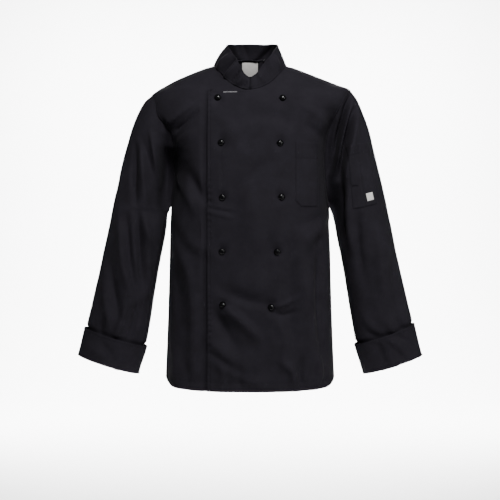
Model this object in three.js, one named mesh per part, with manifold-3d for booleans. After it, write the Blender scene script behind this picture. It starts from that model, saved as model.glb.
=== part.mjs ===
import * as THREE from 'three';
import Module from 'manifold-3d';

const wasm = await Module();
wasm.setup();

// Sizes in millimetres.
// The origin lies midway between the shoulder points beside the neck.
// X runs to the wearer's left, Y to the back and Z up.
const CLOTH = 1.6;
const SEAM_GAP = 0.2;
const LAYER_GAP = 0.4;
const HEM = -756;
const UNDERARM = -338;
const SHOULDER_TIP = -65;

// Cut of the fronts, which lap from one edge to the other across the middle
const LAP = 98;
const STEP_END = 118;
const STEP_HEIGHT = 24;
const LAP_SEGMENTS = 3;
const SIDE_SEGMENTS = 5;
const LAP_LINES = Array.from({ length: LAP_SEGMENTS + 1 }, (_, i) => (LAP * i) / LAP_SEGMENTS);
const LEFT_LINES = [...LAP_LINES, 131, 159];
const RIGHT_LINES = [...LAP_LINES, STEP_END, 138, 159];
const BACK_SEGMENTS = 18;

// Rows between the hem and the underarm, and round half an armhole
const LOW_SEGMENTS = 13;
const HALF_ARMHOLE_SEGMENTS = 15;
const ARMHOLE_FRONT = 62;
const ARMHOLE_BACK = 56;
const ARMHOLE_SQUARE = 2.3;

// Level sections through the body of the jacket
const TORSO = [
  { height: -756, halfWidth: 202, front: 138, back: 122, square: 2.5 },
  { height: -600, halfWidth: 196, front: 134, back: 118, square: 2.5 },
  { height: -450, halfWidth: 192, front: 132, back: 118, square: 2.5 },
  { height: -338, halfWidth: 190, front: 134, back: 124, square: 2.5 },
  { height: -240, halfWidth: 190, front: 131, back: 126, square: 2.5 },
  { height: -165, halfWidth: 200, front: 121, back: 121, square: 2.5 },
  { height: -110, halfWidth: 224, front: 105, back: 111, square: 2.5 },
  { height: -85, halfWidth: 235, front: 94, back: 102, square: 2.35 },
  { height: -65, halfWidth: 240, front: 82, back: 92, square: 2.1 },
  { height: -50, halfWidth: 208, front: 72, back: 84, square: 2.05 },
  { height: -36, halfWidth: 179, front: 62, back: 78, square: 2.1 },
  { height: -22, halfWidth: 147, front: 50, back: 72, square: 2.1 },
  { height: -7, halfWidth: 109, front: 36, back: 65, square: 2.0 },
  { height: 0, halfWidth: 88, front: 30, back: 62, square: 2.0 },
  { height: 22, halfWidth: 88, front: 30, back: 55, square: 2.0 },
];

// Half width of the neck opening at each height
const NECK_FRONT = [
  { height: -65, reach: 0 },
  { height: -62, reach: 15 },
  { height: -57, reach: 30 },
  { height: -47, reach: 47 },
  { height: -36, reach: 59 },
  { height: -24, reach: 69 },
  { height: -12, reach: 79 },
  { height: 0, reach: 88 },
];
const NECK_BACK = [
  { height: 3, reach: 83 },
  { height: 8, reach: 71 },
  { height: 14, reach: 54 },
  { height: 20, reach: 34 },
];

// Height of the collar's top edge, by angle round the neck from the centre front
const COLLAR_TOP = [
  { angle: 0, height: -35 },
  { angle: 12, height: -27 },
  { angle: 25, height: -6 },
  { angle: 37, height: 10 },
  { angle: 62, height: 36 },
  { angle: 90, height: 49 },
  { angle: 125, height: 55 },
  { angle: 180, height: 58 },
];
const COLLAR_RING = { halfWidth: 61, front: 66, back: 50, middleY: -8 };
const COLLAR_ROWS = 3;
const COLLAR_END_GAP = 0.4;

// Sections down a sleeve: its outer and inner edge in front view, its depth and its place
const SLEEVE = [
  { outX: 240, outZ: -65, inX: 190, inZ: -338, front: 62, back: 56, shift: 0, armhole: 1 },
  { outX: 254, outZ: -82, inX: 192, inZ: -343, front: 65, back: 60, shift: 0, armhole: 0.78 },
  { outX: 269, outZ: -112, inX: 193, inZ: -347, front: 67, back: 64, shift: 0, armhole: 0.52 },
  { outX: 285, outZ: -156, inX: 195, inZ: -351, front: 69, back: 67, shift: -1, armhole: 0.28 },
  { outX: 297, outZ: -204, inX: 197, inZ: -356, front: 71, back: 69, shift: -2, armhole: 0.1 },
  { outX: 308, outZ: -253, inX: 199, inZ: -363, front: 71, back: 70, shift: -4, armhole: 0 },
  { outX: 321, outZ: -308, inX: 202, inZ: -376, front: 71, back: 70, shift: -6, armhole: 0 },
  { outX: 334, outZ: -370, inX: 207, inZ: -404, front: 69, back: 68, shift: -9, armhole: 0 },
  { outX: 348, outZ: -438, inX: 219, inZ: -468, front: 65, back: 64, shift: -13, armhole: 0 },
  { outX: 362, outZ: -505, inX: 231, inZ: -538, front: 60, back: 59, shift: -18, armhole: 0 },
  { outX: 375, outZ: -566, inX: 241, inZ: -604, front: 54, back: 53, shift: -24, armhole: 0 },
  { outX: 389, outZ: -625, inX: 253, inZ: -667, front: 47, back: 47, shift: -30, armhole: 0 },
  { outX: 406, outZ: -692, inX: 270, inZ: -735, front: 45, back: 45, shift: -34, armhole: 0 },
];
const CUFF_TOP_SECTION = 11;
const CUFF_END_SECTION = 12;
const CUFF_ROWS = 2;
const CUFF_CLEARANCE = CLOTH + LAYER_GAP;
const CUFF_FLARE = 1.6;

// The largest soft folds, as lines in front view.
// A positive depth stands out and a negative one sinks in.
const FRONT_FOLDS = [
  { x1: -190, z1: -175, x2: -126, z2: -95, width: 16, depth: -4 },
  { x1: -176, z1: -150, x2: -118, z2: -84, width: 13, depth: 4 },
  { x1: -174, z1: -330, x2: -96, z2: -440, width: 22, depth: 4 },
  { x1: -150, z1: -255, x2: -108, z2: -330, width: 18, depth: -3 },
  { x1: -50, z1: -545, x2: 48, z2: -560, width: 20, depth: -4 },
  { x1: -46, z1: -580, x2: 20, z2: -632, width: 18, depth: 4 },
  { x1: 128, z1: -480, x2: 136, z2: -660, width: 24, depth: 3 },
];
const BACK_FOLDS = [
  { x1: -150, z1: -200, x2: -70, z2: -320, width: 22, depth: 4 },
  { x1: 150, z1: -230, x2: 90, z2: -350, width: 22, depth: 4 },
  { x1: -60, z1: -470, x2: -90, z2: -680, width: 26, depth: -4 },
  { x1: 70, z1: -520, x2: 50, z2: -700, width: 24, depth: -3 },
];
const RIGHT_SLEEVE_FOLDS = [
  { x1: -276, z1: -215, x2: -276, z2: -340, width: 13, depth: -4 },
  { x1: -254, z1: -215, x2: -232, z2: -275, width: 14, depth: -4 },
  { x1: -305, z1: -345, x2: -262, z2: -545, width: 15, depth: 4 },
  { x1: -262, z1: -380, x2: -250, z2: -520, width: 12, depth: -4 },
];
const LEFT_SLEEVE_FOLDS = [
  { x1: 232, z1: -85, x2: 190, z2: -250, width: 13, depth: -4 },
  { x1: 236, z1: -130, x2: 196, z2: -270, width: 13, depth: -3 },
];
const FOLD_MARGIN = 34;

// Stud heads on the left front, in front view
const STUDS = [
  { name: 'stud_right_1', x: -75, z: -84 },
  { name: 'stud_right_2', x: -66, z: -190 },
  { name: 'stud_right_3', x: -63, z: -316 },
  { name: 'stud_right_4', x: -64, z: -440 },
  { name: 'stud_right_5', x: -62, z: -563 },
  { name: 'stud_left_1', x: 76, z: -85 },
  { name: 'stud_left_2', x: 69, z: -191 },
  { name: 'stud_left_3', x: 72, z: -315 },
  { name: 'stud_left_4', x: 63, z: -441 },
  { name: 'stud_left_5', x: 49, z: -568 },
];
const STUD_SEGMENTS = 14;
const STUD_GAP = 0.45;
const STUD_PROFILE = [
  { radius: 0, height: 0 },
  { radius: 5.7, height: 0 },
  { radius: 6.6, height: 1.1 },
  { radius: 5.9, height: 2.8 },
  { radius: 3.6, height: 4.3 },
  { radius: 0, height: 4.9 },
];

// Outlines of the pieces that lie on the cloth, in front view
const POCKET_CLOTH = 1.1;
const LABEL_CLOTH = 0.6;
const CHEST_POCKET = { left: 104, right: 159, top: -188, bottom: -338, corner: 14 };
const SLEEVE_POCKET = [
  { x: 227, z: -197 },
  { x: 250, z: -190 },
  { x: 280, z: -186 },
  { x: 299, z: -331 },
  { x: 270, z: -338 },
  { x: 240, z: -344 },
];
const SLEEVE_TAG = [
  { x: 272, z: -307 },
  { x: 288, z: -303 },
  { x: 292, z: -321 },
  { x: 276, z: -326 },
];
const NECK_LABEL = { halfWidth: 20.5, top: 15, bottom: -32 };
const OUTLINE_REACH = 320;

const BLACK_TWILL = { color: 0x27262b, roughness: 0.9, metalness: 0 };
const BLACK_PLASTIC = { color: 0x111114, roughness: 0.25, metalness: 0 };
const WHITE_WOVEN = { color: 0xe4e2dd, roughness: 0.85, metalness: 0 };

// A smooth curve through the rows of a table that never swings past them
function through(rows, at, key) {
  const steps = rows.slice(1).map((row, i) => row[at] - rows[i][at]);
  const secants = rows.slice(1).map((row, i) => (row[key] - rows[i][key]) / steps[i]);
  const slopes = rows.map((row, i) => {
    if (i === 0) return secants[0];
    if (i === rows.length - 1) return secants[i - 1];
    const product = secants[i - 1] * secants[i];
    return product <= 0 ? 0 : (2 * product) / (secants[i - 1] + secants[i]);
  });
  return (value) => {
    const last = rows.length - 2;
    const found = rows.findIndex((row, i) => i > 0 && value <= row[at]) - 1;
    const i = found < 0 ? (value <= rows[0][at] ? 0 : last) : found;
    const t = Math.min(Math.max((value - rows[i][at]) / steps[i], 0), 1);
    const rise = rows[i + 1][key] - rows[i][key];
    const smooth = t * t * (3 - 2 * t);
    const early = t * (1 - t) * (1 - t) * slopes[i] * steps[i];
    const late = t * t * (t - 1) * slopes[i + 1] * steps[i];
    return rows[i][key] + rise * smooth + early + late;
  };
}

const halfWidthAt = through(TORSO, 'height', 'halfWidth');
const squareAt = through(TORSO, 'height', 'square');
const depthAt = {
  front: through(TORSO, 'height', 'front'),
  back: through(TORSO, 'height', 'back'),
};
const armholeDepth = { front: ARMHOLE_FRONT, back: ARMHOLE_BACK };

function smoothStep(t) {
  const held = Math.min(Math.max(t, 0), 1);
  return held * held * (3 - 2 * held);
}

// The other coordinate of a rounded oblong section, as a share of its half size
function acrossSection(share, square) {
  return Math.pow(Math.max(1 - Math.pow(Math.min(Math.abs(share), 1), square), 0), 1 / square);
}

function torsoPoint(x, z, face) {
  const depth = depthAt[face](z) * acrossSection(x / halfWidthAt(z), squareAt(z));
  return new THREE.Vector3(x, face === 'front' ? -depth : depth, z);
}

// How far from the middle a front or back reaches at a height: side seam, armhole or shoulder
function panelReach(z, face) {
  const width = halfWidthAt(z);
  if (z <= UNDERARM || z >= SHOULDER_TIP) return width;
  const middle = (UNDERARM + SHOULDER_TIP) / 2;
  const cosine = (z - middle) / ((SHOULDER_TIP - UNDERARM) / 2);
  const depth = armholeDepth[face] * acrossSection(cosine, ARMHOLE_SQUARE);
  return width * acrossSection(depth / depthAt[face](z), squareAt(z));
}

function foldHeight(folds, x, z) {
  return folds.reduce((sum, fold) => {
    const alongX = fold.x2 - fold.x1;
    const alongZ = fold.z2 - fold.z1;
    const length = alongX * alongX + alongZ * alongZ;
    const t = ((x - fold.x1) * alongX + (z - fold.z1) * alongZ) / length;
    const held = Math.min(Math.max(t, 0), 1);
    const away = Math.hypot(x - fold.x1 - held * alongX, z - fold.z1 - held * alongZ);
    return sum + fold.depth * Math.exp(-((away / fold.width) ** 2));
  }, 0);
}

// The heights of the rows of every panel, from the hem up
function panelHeights(neckRows) {
  const low = Array.from(
    { length: LOW_SEGMENTS },
    (_, i) => HEM + ((UNDERARM - HEM) * i) / LOW_SEGMENTS,
  );
  const middle = (UNDERARM + SHOULDER_TIP) / 2;
  const half = (SHOULDER_TIP - UNDERARM) / 2;
  const armhole = Array.from(
    { length: HALF_ARMHOLE_SEGMENTS + 1 },
    (_, i) => middle - half * Math.cos((Math.PI * i) / HALF_ARMHOLE_SEGMENTS),
  );
  return [...low, ...armhole, ...neckRows.map((row) => row.height)];
}

const TIP_ROW = LOW_SEGMENTS + HALF_ARMHOLE_SEGMENTS;
const SHOULDER_ROW = TIP_ROW + NECK_FRONT.length - 1;
const FRONT_HEIGHTS = panelHeights(NECK_FRONT.slice(1));
const BACK_HEIGHTS = panelHeights([...NECK_FRONT.slice(1), ...NECK_BACK]);

// A sheet is a net of points with the direction that its cloth is thick in.
// Cells name four corners, counter-clockwise from outside.
function makeSheet(rows, columns, place, hasCell, closed, flipped) {
  const sheet = { points: [], cells: [], index: new Map() };
  const id = (row, column) => {
    const wrapped = closed ? column % columns.count : column;
    const key = `${row},${wrapped}`;
    if (!sheet.index.has(key)) {
      sheet.index.set(key, sheet.points.length);
      sheet.points.push(place(row, wrapped));
    }
    return sheet.index.get(key);
  };
  for (let row = 0; row < rows; row += 1) {
    for (let column = columns.first; column < columns.last; column += 1) {
      if (!hasCell(row, column)) continue;
      const ring = [id(row, column), id(row, column + 1), id(row + 1, column + 1), id(row + 1, column)];
      sheet.cells.push(flipped ? ring.reverse() : ring);
    }
  }
  sheet.inward = inwardDirections(sheet);
  return sheet;
}

function inwardDirections(sheet) {
  const sums = sheet.points.map(() => new THREE.Vector3());
  const first = new THREE.Vector3();
  const second = new THREE.Vector3();
  sheet.cells.forEach(([a, b, c, d]) => {
    first.subVectors(sheet.points[c], sheet.points[a]);
    second.subVectors(sheet.points[d], sheet.points[b]);
    const inward = new THREE.Vector3().crossVectors(second, first).normalize();
    [a, b, c, d].forEach((corner) => sums[corner].add(inward));
  });
  return sums.map((sum) => sum.normalize());
}

// The outer and inner faces of a sheet between two depths, closed along its edges
function sheetTriangles(sheet, outerDepth, innerDepth) {
  const at = (depth) =>
    sheet.points.map((point, i) => point.clone().addScaledVector(sheet.inward[i], depth));
  const points = [...at(outerDepth), ...at(innerDepth)];
  const under = sheet.points.length;
  const triangles = [];
  const open = new Map();
  sheet.cells.forEach(([a, b, c, d]) => {
    triangles.push([a, b, c], [a, c, d]);
    triangles.push([under + a, under + c, under + b], [under + a, under + d, under + c]);
    [[a, b], [b, c], [c, d], [d, a]].forEach(([from, to]) => {
      if (open.has(`${to},${from}`)) open.delete(`${to},${from}`);
      else open.set(`${from},${to}`, [from, to]);
    });
  });
  open.forEach(([from, to]) => {
    triangles.push([from, under + from, under + to], [from, under + to, to]);
  });
  return { points, triangles };
}

function geometryOf({ points, triangles }) {
  const geometry = new THREE.BufferGeometry();
  const flat = new Float32Array(points.flatMap((point) => [point.x, point.y, point.z]));
  geometry.setAttribute('position', new THREE.BufferAttribute(flat, 3));
  geometry.setIndex(triangles.flat());
  geometry.computeVertexNormals();
  return geometry;
}

function solidOf({ points, triangles }) {
  const mesh = new wasm.Mesh({
    numProp: 3,
    vertProperties: new Float32Array(points.flatMap((point) => [point.x, point.y, point.z])),
    triVerts: new Uint32Array(triangles.flat()),
  });
  mesh.merge();
  return new wasm.Manifold(mesh);
}

function geometryOfSolid(solid) {
  const mesh = solid.getMesh();
  const geometry = new THREE.BufferGeometry();
  geometry.setAttribute('position', new THREE.BufferAttribute(mesh.vertProperties, 3));
  geometry.setIndex(Array.from(mesh.triVerts));
  geometry.computeVertexNormals();
  return geometry;
}

// Panels of the body

function frontColumnX(z, row, column, lines) {
  if (column < 0) return -LAP_LINES[-column];
  const reach = panelReach(z, 'front');
  const start = lines.length - 1;
  const fixed = (end) => {
    if (column <= start) return lines[column];
    const share = Math.sin((Math.PI / 2) * ((column - start) / SIDE_SEGMENTS));
    return lines[start] + (end - lines[start]) * share;
  };
  if (row <= TIP_ROW) return fixed(reach);
  const share = fixed(halfWidthAt(SHOULDER_TIP)) / halfWidthAt(SHOULDER_TIP);
  const neck = NECK_FRONT[row - TIP_ROW].reach;
  return neck + (reach - neck) * share;
}

function outwardOf(x, z, face) {
  const step = 0.5;
  const here = torsoPoint(x, z, face);
  const inner = Math.sign(x || 1) * step;
  const across = torsoPoint(x - inner, z, face).sub(here).multiplyScalar(Math.sign(-inner));
  const up = torsoPoint(x, z + step, face).sub(here);
  const outward = face === 'front' ? across.cross(up) : up.cross(across);
  return outward.normalize();
}

function shiftAtEdges(point, x, side, row, column, lastColumn, face) {
  const shifted = point;
  const away = face === 'front' ? -1 : 1;
  const onArmhole = row >= LOW_SEGMENTS && row <= TIP_ROW;
  if (column === lastColumn) {
    if (onArmhole) shifted.x -= side * SEAM_GAP;
    if (!onArmhole || row === LOW_SEGMENTS || row === TIP_ROW) shifted.y += away * SEAM_GAP;
    if (row === LOW_SEGMENTS) shifted.z -= SEAM_GAP;
  }
  return shifted;
}

// How deep the right front lies below the left one where it is lapped
function underlapDepth(reached, z) {
  const across = smoothStep((STEP_END - reached) / (STEP_END - LAP));
  const up = smoothStep((z - SHOULDER_TIP) / STEP_HEIGHT);
  return (CLOTH + LAYER_GAP) * across * (1 - up);
}

function makeFront(side, lines, depthBelow) {
  const lastColumn = lines.length - 1 + SIDE_SEGMENTS;
  const place = (row, column) => {
    const z = FRONT_HEIGHTS[row];
    const reached = frontColumnX(z, row, column, lines);
    const x = side * reached;
    const point = torsoPoint(x, z, 'front');
    const room = smoothStep((panelReach(z, 'front') - Math.abs(x)) / FOLD_MARGIN);
    const lift = foldHeight(FRONT_FOLDS, x, z) * room * (row > TIP_ROW ? 0 : 1);
    point.addScaledVector(outwardOf(x, z, 'front'), lift - depthBelow(reached, z));
    if (row > TIP_ROW && column === 0) point.x += side * SEAM_GAP;
    if (row >= TIP_ROW && column <= 0) point.z -= SEAM_GAP;
    return shiftAtEdges(point, x, side, row, column, lastColumn, 'front');
  };
  const hasCell = (row, column) => column >= 0 || row < TIP_ROW;
  const columns = { first: -LAP_SEGMENTS, last: lastColumn };
  const sheet = makeSheet(SHOULDER_ROW, columns, place, hasCell, false, side < 0);
  sheet.lastColumn = lastColumn;
  return sheet;
}

const leftFront = makeFront(1, LEFT_LINES, () => 0);
const rightFront = makeFront(-1, RIGHT_LINES, underlapDepth);

function backReach(row) {
  if (row <= SHOULDER_ROW) return panelReach(BACK_HEIGHTS[row], 'back');
  return NECK_BACK[row - SHOULDER_ROW - 1].reach;
}

function makeBack() {
  const place = (row, column) => {
    const z = BACK_HEIGHTS[row];
    const reach = backReach(row);
    const x = reach * Math.sin((Math.PI / 2) * (1 - (2 * column) / BACK_SEGMENTS));
    const point = torsoPoint(x, z, 'back');
    const room = smoothStep((reach - Math.abs(x)) / FOLD_MARGIN);
    const lift = foldHeight(BACK_FOLDS, x, z) * room * (row > TIP_ROW ? 0 : 1);
    point.addScaledVector(outwardOf(x, z, 'back'), lift);
    if (row > SHOULDER_ROW && (column === 0 || column === BACK_SEGMENTS)) {
      point.x += Math.sign(x) * SEAM_GAP;
    }
    if (row >= SHOULDER_ROW + NECK_BACK.length) point.z -= SEAM_GAP;
    const edge = column === 0 || column === BACK_SEGMENTS ? 1 : 0;
    if (row > SHOULDER_ROW) return point;
    return shiftAtEdges(point, x, Math.sign(x), row, edge, 1, 'back');
  };
  const columns = { first: 0, last: BACK_SEGMENTS };
  return makeSheet(BACK_HEIGHTS.length - 1, columns, place, () => true, false, false);
}

const back = makeBack();

// Along side and shoulder seams the cloth's thickness has no lean to front or back
function squareSeam(sheet, columnsAtEdge, rowsWithSeam) {
  columnsAtEdge.forEach((column) => {
    rowsWithSeam.forEach((row) => {
      const inward = sheet.inward[sheet.index.get(`${row},${column}`)];
      inward.setY(0).normalize();
    });
  });
}

const seamRows = FRONT_HEIGHTS.map((_, row) => row).filter(
  (row) => row <= LOW_SEGMENTS || row >= TIP_ROW,
);
squareSeam(leftFront, [leftFront.lastColumn], seamRows);
squareSeam(rightFront, [rightFront.lastColumn], seamRows);
squareSeam(back, [0, BACK_SEGMENTS], seamRows);

// Sleeves and cuffs

const ARMHOLE_POINTS = 2 * HALF_ARMHOLE_SEGMENTS;

// Column 0 is the outer edge; the front comes next, then the inner edge and the back
function armholeSource(column, side) {
  const steps = column <= HALF_ARMHOLE_SEGMENTS ? column : ARMHOLE_POINTS - column;
  const row = TIP_ROW - steps;
  const isFront = column <= HALF_ARMHOLE_SEGMENTS;
  const front = side > 0 ? leftFront : rightFront;
  const backColumn = side > 0 ? 0 : BACK_SEGMENTS;
  return isFront
    ? { sheet: front, id: front.index.get(`${row},${front.lastColumn}`), row, face: 'front' }
    : { sheet: back, id: back.index.get(`${row},${backColumn}`), row, face: 'back' };
}

function sleeveSection(section, column, side, grow) {
  const angle = (2 * Math.PI * column) / ARMHOLE_POINTS;
  const halfX = (section.outX - section.inX) / 2;
  const halfZ = (section.outZ - section.inZ) / 2;
  const spread = 1 + grow / Math.hypot(halfX, halfZ);
  const isFront = column <= HALF_ARMHOLE_SEGMENTS;
  const depth = (isFront ? section.front : section.back) + grow;
  const x = (section.outX + section.inX) / 2 + halfX * spread * Math.cos(angle);
  const z = (section.outZ + section.inZ) / 2 + halfZ * spread * Math.cos(angle);
  const y = section.shift - depth * Math.sin(angle);
  return new THREE.Vector3(side * x, y, z);
}

function armholePoint(column, side) {
  const { row, face } = armholeSource(column, side);
  const z = FRONT_HEIGHTS[row];
  const reach = panelReach(z, face);
  const point = torsoPoint(reach, z, face);
  return new THREE.Vector3(side * (point.x + SEAM_GAP), point.y, point.z);
}

function makeSleeve(side, folds) {
  const place = (row, column) => {
    const section = SLEEVE[row];
    const point = sleeveSection(section, column, side, 0);
    const start = sleeveSection(SLEEVE[0], column, side, 0);
    const pull = armholePoint(column, side).sub(start);
    point.addScaledVector(pull, section.armhole);
    const isFront = column > 0 && column < HALF_ARMHOLE_SEGMENTS;
    const held = row > 1 && row < CUFF_TOP_SECTION ? 1 : 0;
    const lift = isFront ? foldHeight(folds, point.x, point.z) * held : 0;
    point.y -= lift * Math.sin((2 * Math.PI * column) / ARMHOLE_POINTS);
    return point;
  };
  const columns = { first: 0, last: ARMHOLE_POINTS, count: ARMHOLE_POINTS };
  return makeSheet(SLEEVE.length - 1, columns, place, () => true, true, side < 0);
}

// Where body and sleeve fold down over the seam, both walls take the same lean
function matchArmhole(sleeve, side) {
  for (let column = 0; column < ARMHOLE_POINTS; column += 1) {
    const body = armholeSource(column, side);
    const bodyInward = body.sheet.inward[body.id];
    const sleeveInward = sleeve.inward[sleeve.index.get(`0,${column}`)];
    if (side * sleeveInward.x < side * bodyInward.x) {
      const shared = bodyInward.clone().add(sleeveInward).normalize();
      bodyInward.copy(shared);
      sleeveInward.copy(shared);
    }
  }
}

const leftSleeve = makeSleeve(1, LEFT_SLEEVE_FOLDS);
const rightSleeve = makeSleeve(-1, RIGHT_SLEEVE_FOLDS);
matchArmhole(leftSleeve, 1);
matchArmhole(rightSleeve, -1);

function makeCuff(side) {
  const top = SLEEVE[CUFF_TOP_SECTION];
  const end = SLEEVE[CUFF_END_SECTION];
  const place = (row, column) => {
    const share = row / CUFF_ROWS;
    const flare = CUFF_FLARE * (1 - share);
    const upper = sleeveSection(top, column, side, CUFF_CLEARANCE + flare);
    const lower = sleeveSection(end, column, side, CUFF_CLEARANCE + flare);
    return upper.lerp(lower, share);
  };
  const columns = { first: 0, last: ARMHOLE_POINTS, count: ARMHOLE_POINTS };
  return makeSheet(CUFF_ROWS, columns, place, () => true, true, side < 0);
}

// Collar, standing on the neck edges of the fronts and the back

// Points along the neck edge from the centre front round the wearer's left side
function frontNeckEdge(side) {
  return NECK_FRONT.map(({ reach, height }) => {
    const point = torsoPoint(side * reach, height, 'front');
    const below = side < 0 ? underlapDepth(reach, height) : 0;
    point.addScaledVector(outwardOf(side * reach, height, 'front'), -below);
    if (reach === 0) point.x = side * COLLAR_END_GAP;
    return point;
  });
}

function neckEdge() {
  const leftBack = NECK_BACK.map((edge) => torsoPoint(edge.reach, edge.height, 'back'));
  const rightBack = NECK_BACK.map((edge) => torsoPoint(-edge.reach, edge.height, 'back'));
  const top = NECK_BACK.at(-1);
  const middle = [0.5, 0, -0.5].map((share) => torsoPoint(top.reach * share, top.height, 'back'));
  return [
    ...frontNeckEdge(1), ...leftBack, ...middle,
    ...rightBack.reverse(), ...frontNeckEdge(-1).reverse(),
  ];
}

function collarTop(base) {
  const { halfWidth, front, back: rear, middleY } = COLLAR_RING;
  const widest = NECK_FRONT.at(-1).reach;
  const deep = base.y < middleY ? -torsoPoint(0, SHOULDER_TIP, 'front').y : torsoPoint(0, 0, 'back').y;
  const turn = Math.atan2(Math.abs(base.x) / widest, (middleY - base.y) / deep);
  const depth = base.y < middleY ? front : rear;
  const height = through(COLLAR_TOP, 'angle', 'height')((turn * 180) / Math.PI);
  const isEnd = Math.abs(base.x) <= COLLAR_END_GAP;
  const x = isEnd ? base.x : Math.sign(base.x) * halfWidth * Math.sin(turn);
  return new THREE.Vector3(x, middleY - depth * Math.cos(turn), height);
}

function makeCollar() {
  const edge = neckEdge();
  const place = (row, column) => {
    const base = edge[column].clone();
    base.z += SEAM_GAP;
    return base.clone().lerp(collarTop(edge[column]), row / COLLAR_ROWS);
  };
  const columns = { first: 0, last: edge.length - 1 };
  const sheet = makeSheet(COLLAR_ROWS, columns, place, () => true, false, false);
  edge.forEach((_, column) => sheet.inward[sheet.index.get(`0,${column}`)].setZ(0).normalize());
  return sheet;
}

// Pieces that lie on the cloth, cut from its own faces moved out or in

function outlineSolid(outline, rearY) {
  const shape = new THREE.Shape(outline.map(({ x, z }) => new THREE.Vector2(x, z)));
  const slab = new THREE.ExtrudeGeometry(shape, { depth: OUTLINE_REACH, bevelEnabled: false });
  slab.rotateX(Math.PI / 2);
  slab.translate(0, rearY, 0);
  const position = slab.getAttribute('position');
  const points = Array.from(
    { length: position.count },
    (_, i) => new THREE.Vector3().fromBufferAttribute(position, i),
  );
  const triangles = Array.from({ length: position.count / 3 }, (_, i) => [3 * i, 3 * i + 1, 3 * i + 2]);
  return solidOf({ points, triangles });
}

function layOn(sheet, outline, nearDepth, farDepth, rearY) {
  const layer = solidOf(sheetTriangles(sheet, nearDepth, farDepth));
  return geometryOfSolid(layer.intersect(outlineSolid(outline, rearY)));
}

function rectangle(left, right, bottom, top) {
  return [
    { x: left, z: top },
    { x: right, z: top },
    { x: right, z: bottom },
    { x: left, z: bottom },
  ];
}

const chestPocketOutline = [
  { x: CHEST_POCKET.left, z: CHEST_POCKET.top },
  { x: CHEST_POCKET.right, z: CHEST_POCKET.top },
  { x: CHEST_POCKET.right, z: CHEST_POCKET.bottom },
  { x: CHEST_POCKET.left + CHEST_POCKET.corner, z: CHEST_POCKET.bottom },
  { x: CHEST_POCKET.left, z: CHEST_POCKET.bottom + CHEST_POCKET.corner },
];
const pocketTop = -(LAYER_GAP + POCKET_CLOTH);
const tagBase = pocketTop - LAYER_GAP;
const labelBase = CLOTH + LAYER_GAP;

// Stud heads, each seated square to the face of cloth below it

function cellUnder(sheet, x, z) {
  const inside = (a, b, c) => {
    const cross = (p, q) => (q.x - p.x) * (z - p.z) - (q.z - p.z) * (x - p.x);
    return [cross(a, b), cross(b, c), cross(c, a)].every((value) => value >= 0);
  };
  for (const [a, b, c, d] of sheet.cells) {
    for (const corners of [[a, b, c], [a, c, d]]) {
      const [p, q, r] = corners.map((corner) => sheet.points[corner]);
      if (inside(p, q, r)) {
        const plane = new THREE.Plane().setFromCoplanarPoints(p, q, r);
        const y = -(plane.normal.x * x + plane.normal.z * z + plane.constant) / plane.normal.y;
        return { point: new THREE.Vector3(x, y, z), outward: plane.normal };
      }
    }
  }
  throw new Error(`no cloth at ${x}, ${z}`);
}

function studGeometry({ x, z }) {
  const profile = STUD_PROFILE.map(({ radius, height }) => new THREE.Vector2(radius, height));
  const geometry = new THREE.LatheGeometry(profile, STUD_SEGMENTS);
  const seat = cellUnder(leftFront, x, z);
  const turn = new THREE.Quaternion().setFromUnitVectors(new THREE.Vector3(0, 1, 0), seat.outward);
  geometry.applyQuaternion(turn);
  const place = seat.point.addScaledVector(seat.outward, STUD_GAP);
  geometry.translate(place.x, place.y, place.z);
  return geometry;
}

// The jacket

const jacket = new THREE.Group();
jacket.name = 'chef_jacket';

function addPiece(name, geometry, look, materialName) {
  const material = new THREE.MeshStandardMaterial(look);
  material.name = materialName;
  const mesh = new THREE.Mesh(geometry, material);
  mesh.name = name;
  jacket.add(mesh);
}

const cloth = (sheet) => geometryOf(sheetTriangles(sheet, 0, CLOTH));

addPiece('left_front', cloth(leftFront), BLACK_TWILL, 'black_twill');
addPiece('right_front', cloth(rightFront), BLACK_TWILL, 'black_twill');
addPiece('back', cloth(back), BLACK_TWILL, 'black_twill');
addPiece('left_sleeve', cloth(leftSleeve), BLACK_TWILL, 'black_twill');
addPiece('right_sleeve', cloth(rightSleeve), BLACK_TWILL, 'black_twill');
addPiece('left_cuff', cloth(makeCuff(1)), BLACK_TWILL, 'black_twill');
addPiece('right_cuff', cloth(makeCuff(-1)), BLACK_TWILL, 'black_twill');
addPiece('collar', cloth(makeCollar()), BLACK_TWILL, 'black_twill');

const chestPocket = layOn(leftFront, chestPocketOutline, pocketTop, -LAYER_GAP, 0);
addPiece('chest_pocket', chestPocket, BLACK_TWILL, 'black_twill');

const sleevePocket = layOn(leftSleeve, SLEEVE_POCKET, pocketTop, -LAYER_GAP, -10);
addPiece('sleeve_pocket', sleevePocket, BLACK_TWILL, 'black_twill');

const sleeveTag = layOn(leftSleeve, SLEEVE_TAG, tagBase - LABEL_CLOTH, tagBase, -10);
addPiece('sleeve_tag', sleeveTag, WHITE_WOVEN, 'white_woven_label');

const labelOutline = rectangle(
  -NECK_LABEL.halfWidth, NECK_LABEL.halfWidth, NECK_LABEL.bottom, NECK_LABEL.top,
);
const neckLabel = layOn(back, labelOutline, labelBase, labelBase + LABEL_CLOTH, OUTLINE_REACH);
addPiece('neck_label', neckLabel, WHITE_WOVEN, 'white_woven_label');

STUDS.forEach((stud) => {
  addPiece(stud.name, studGeometry(stud), BLACK_PLASTIC, 'black_plastic');
});

export default jacket;
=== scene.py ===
import math

import bmesh
import bpy
import numpy as np
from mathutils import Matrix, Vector
from mathutils.bvhtree import BVHTree


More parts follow.
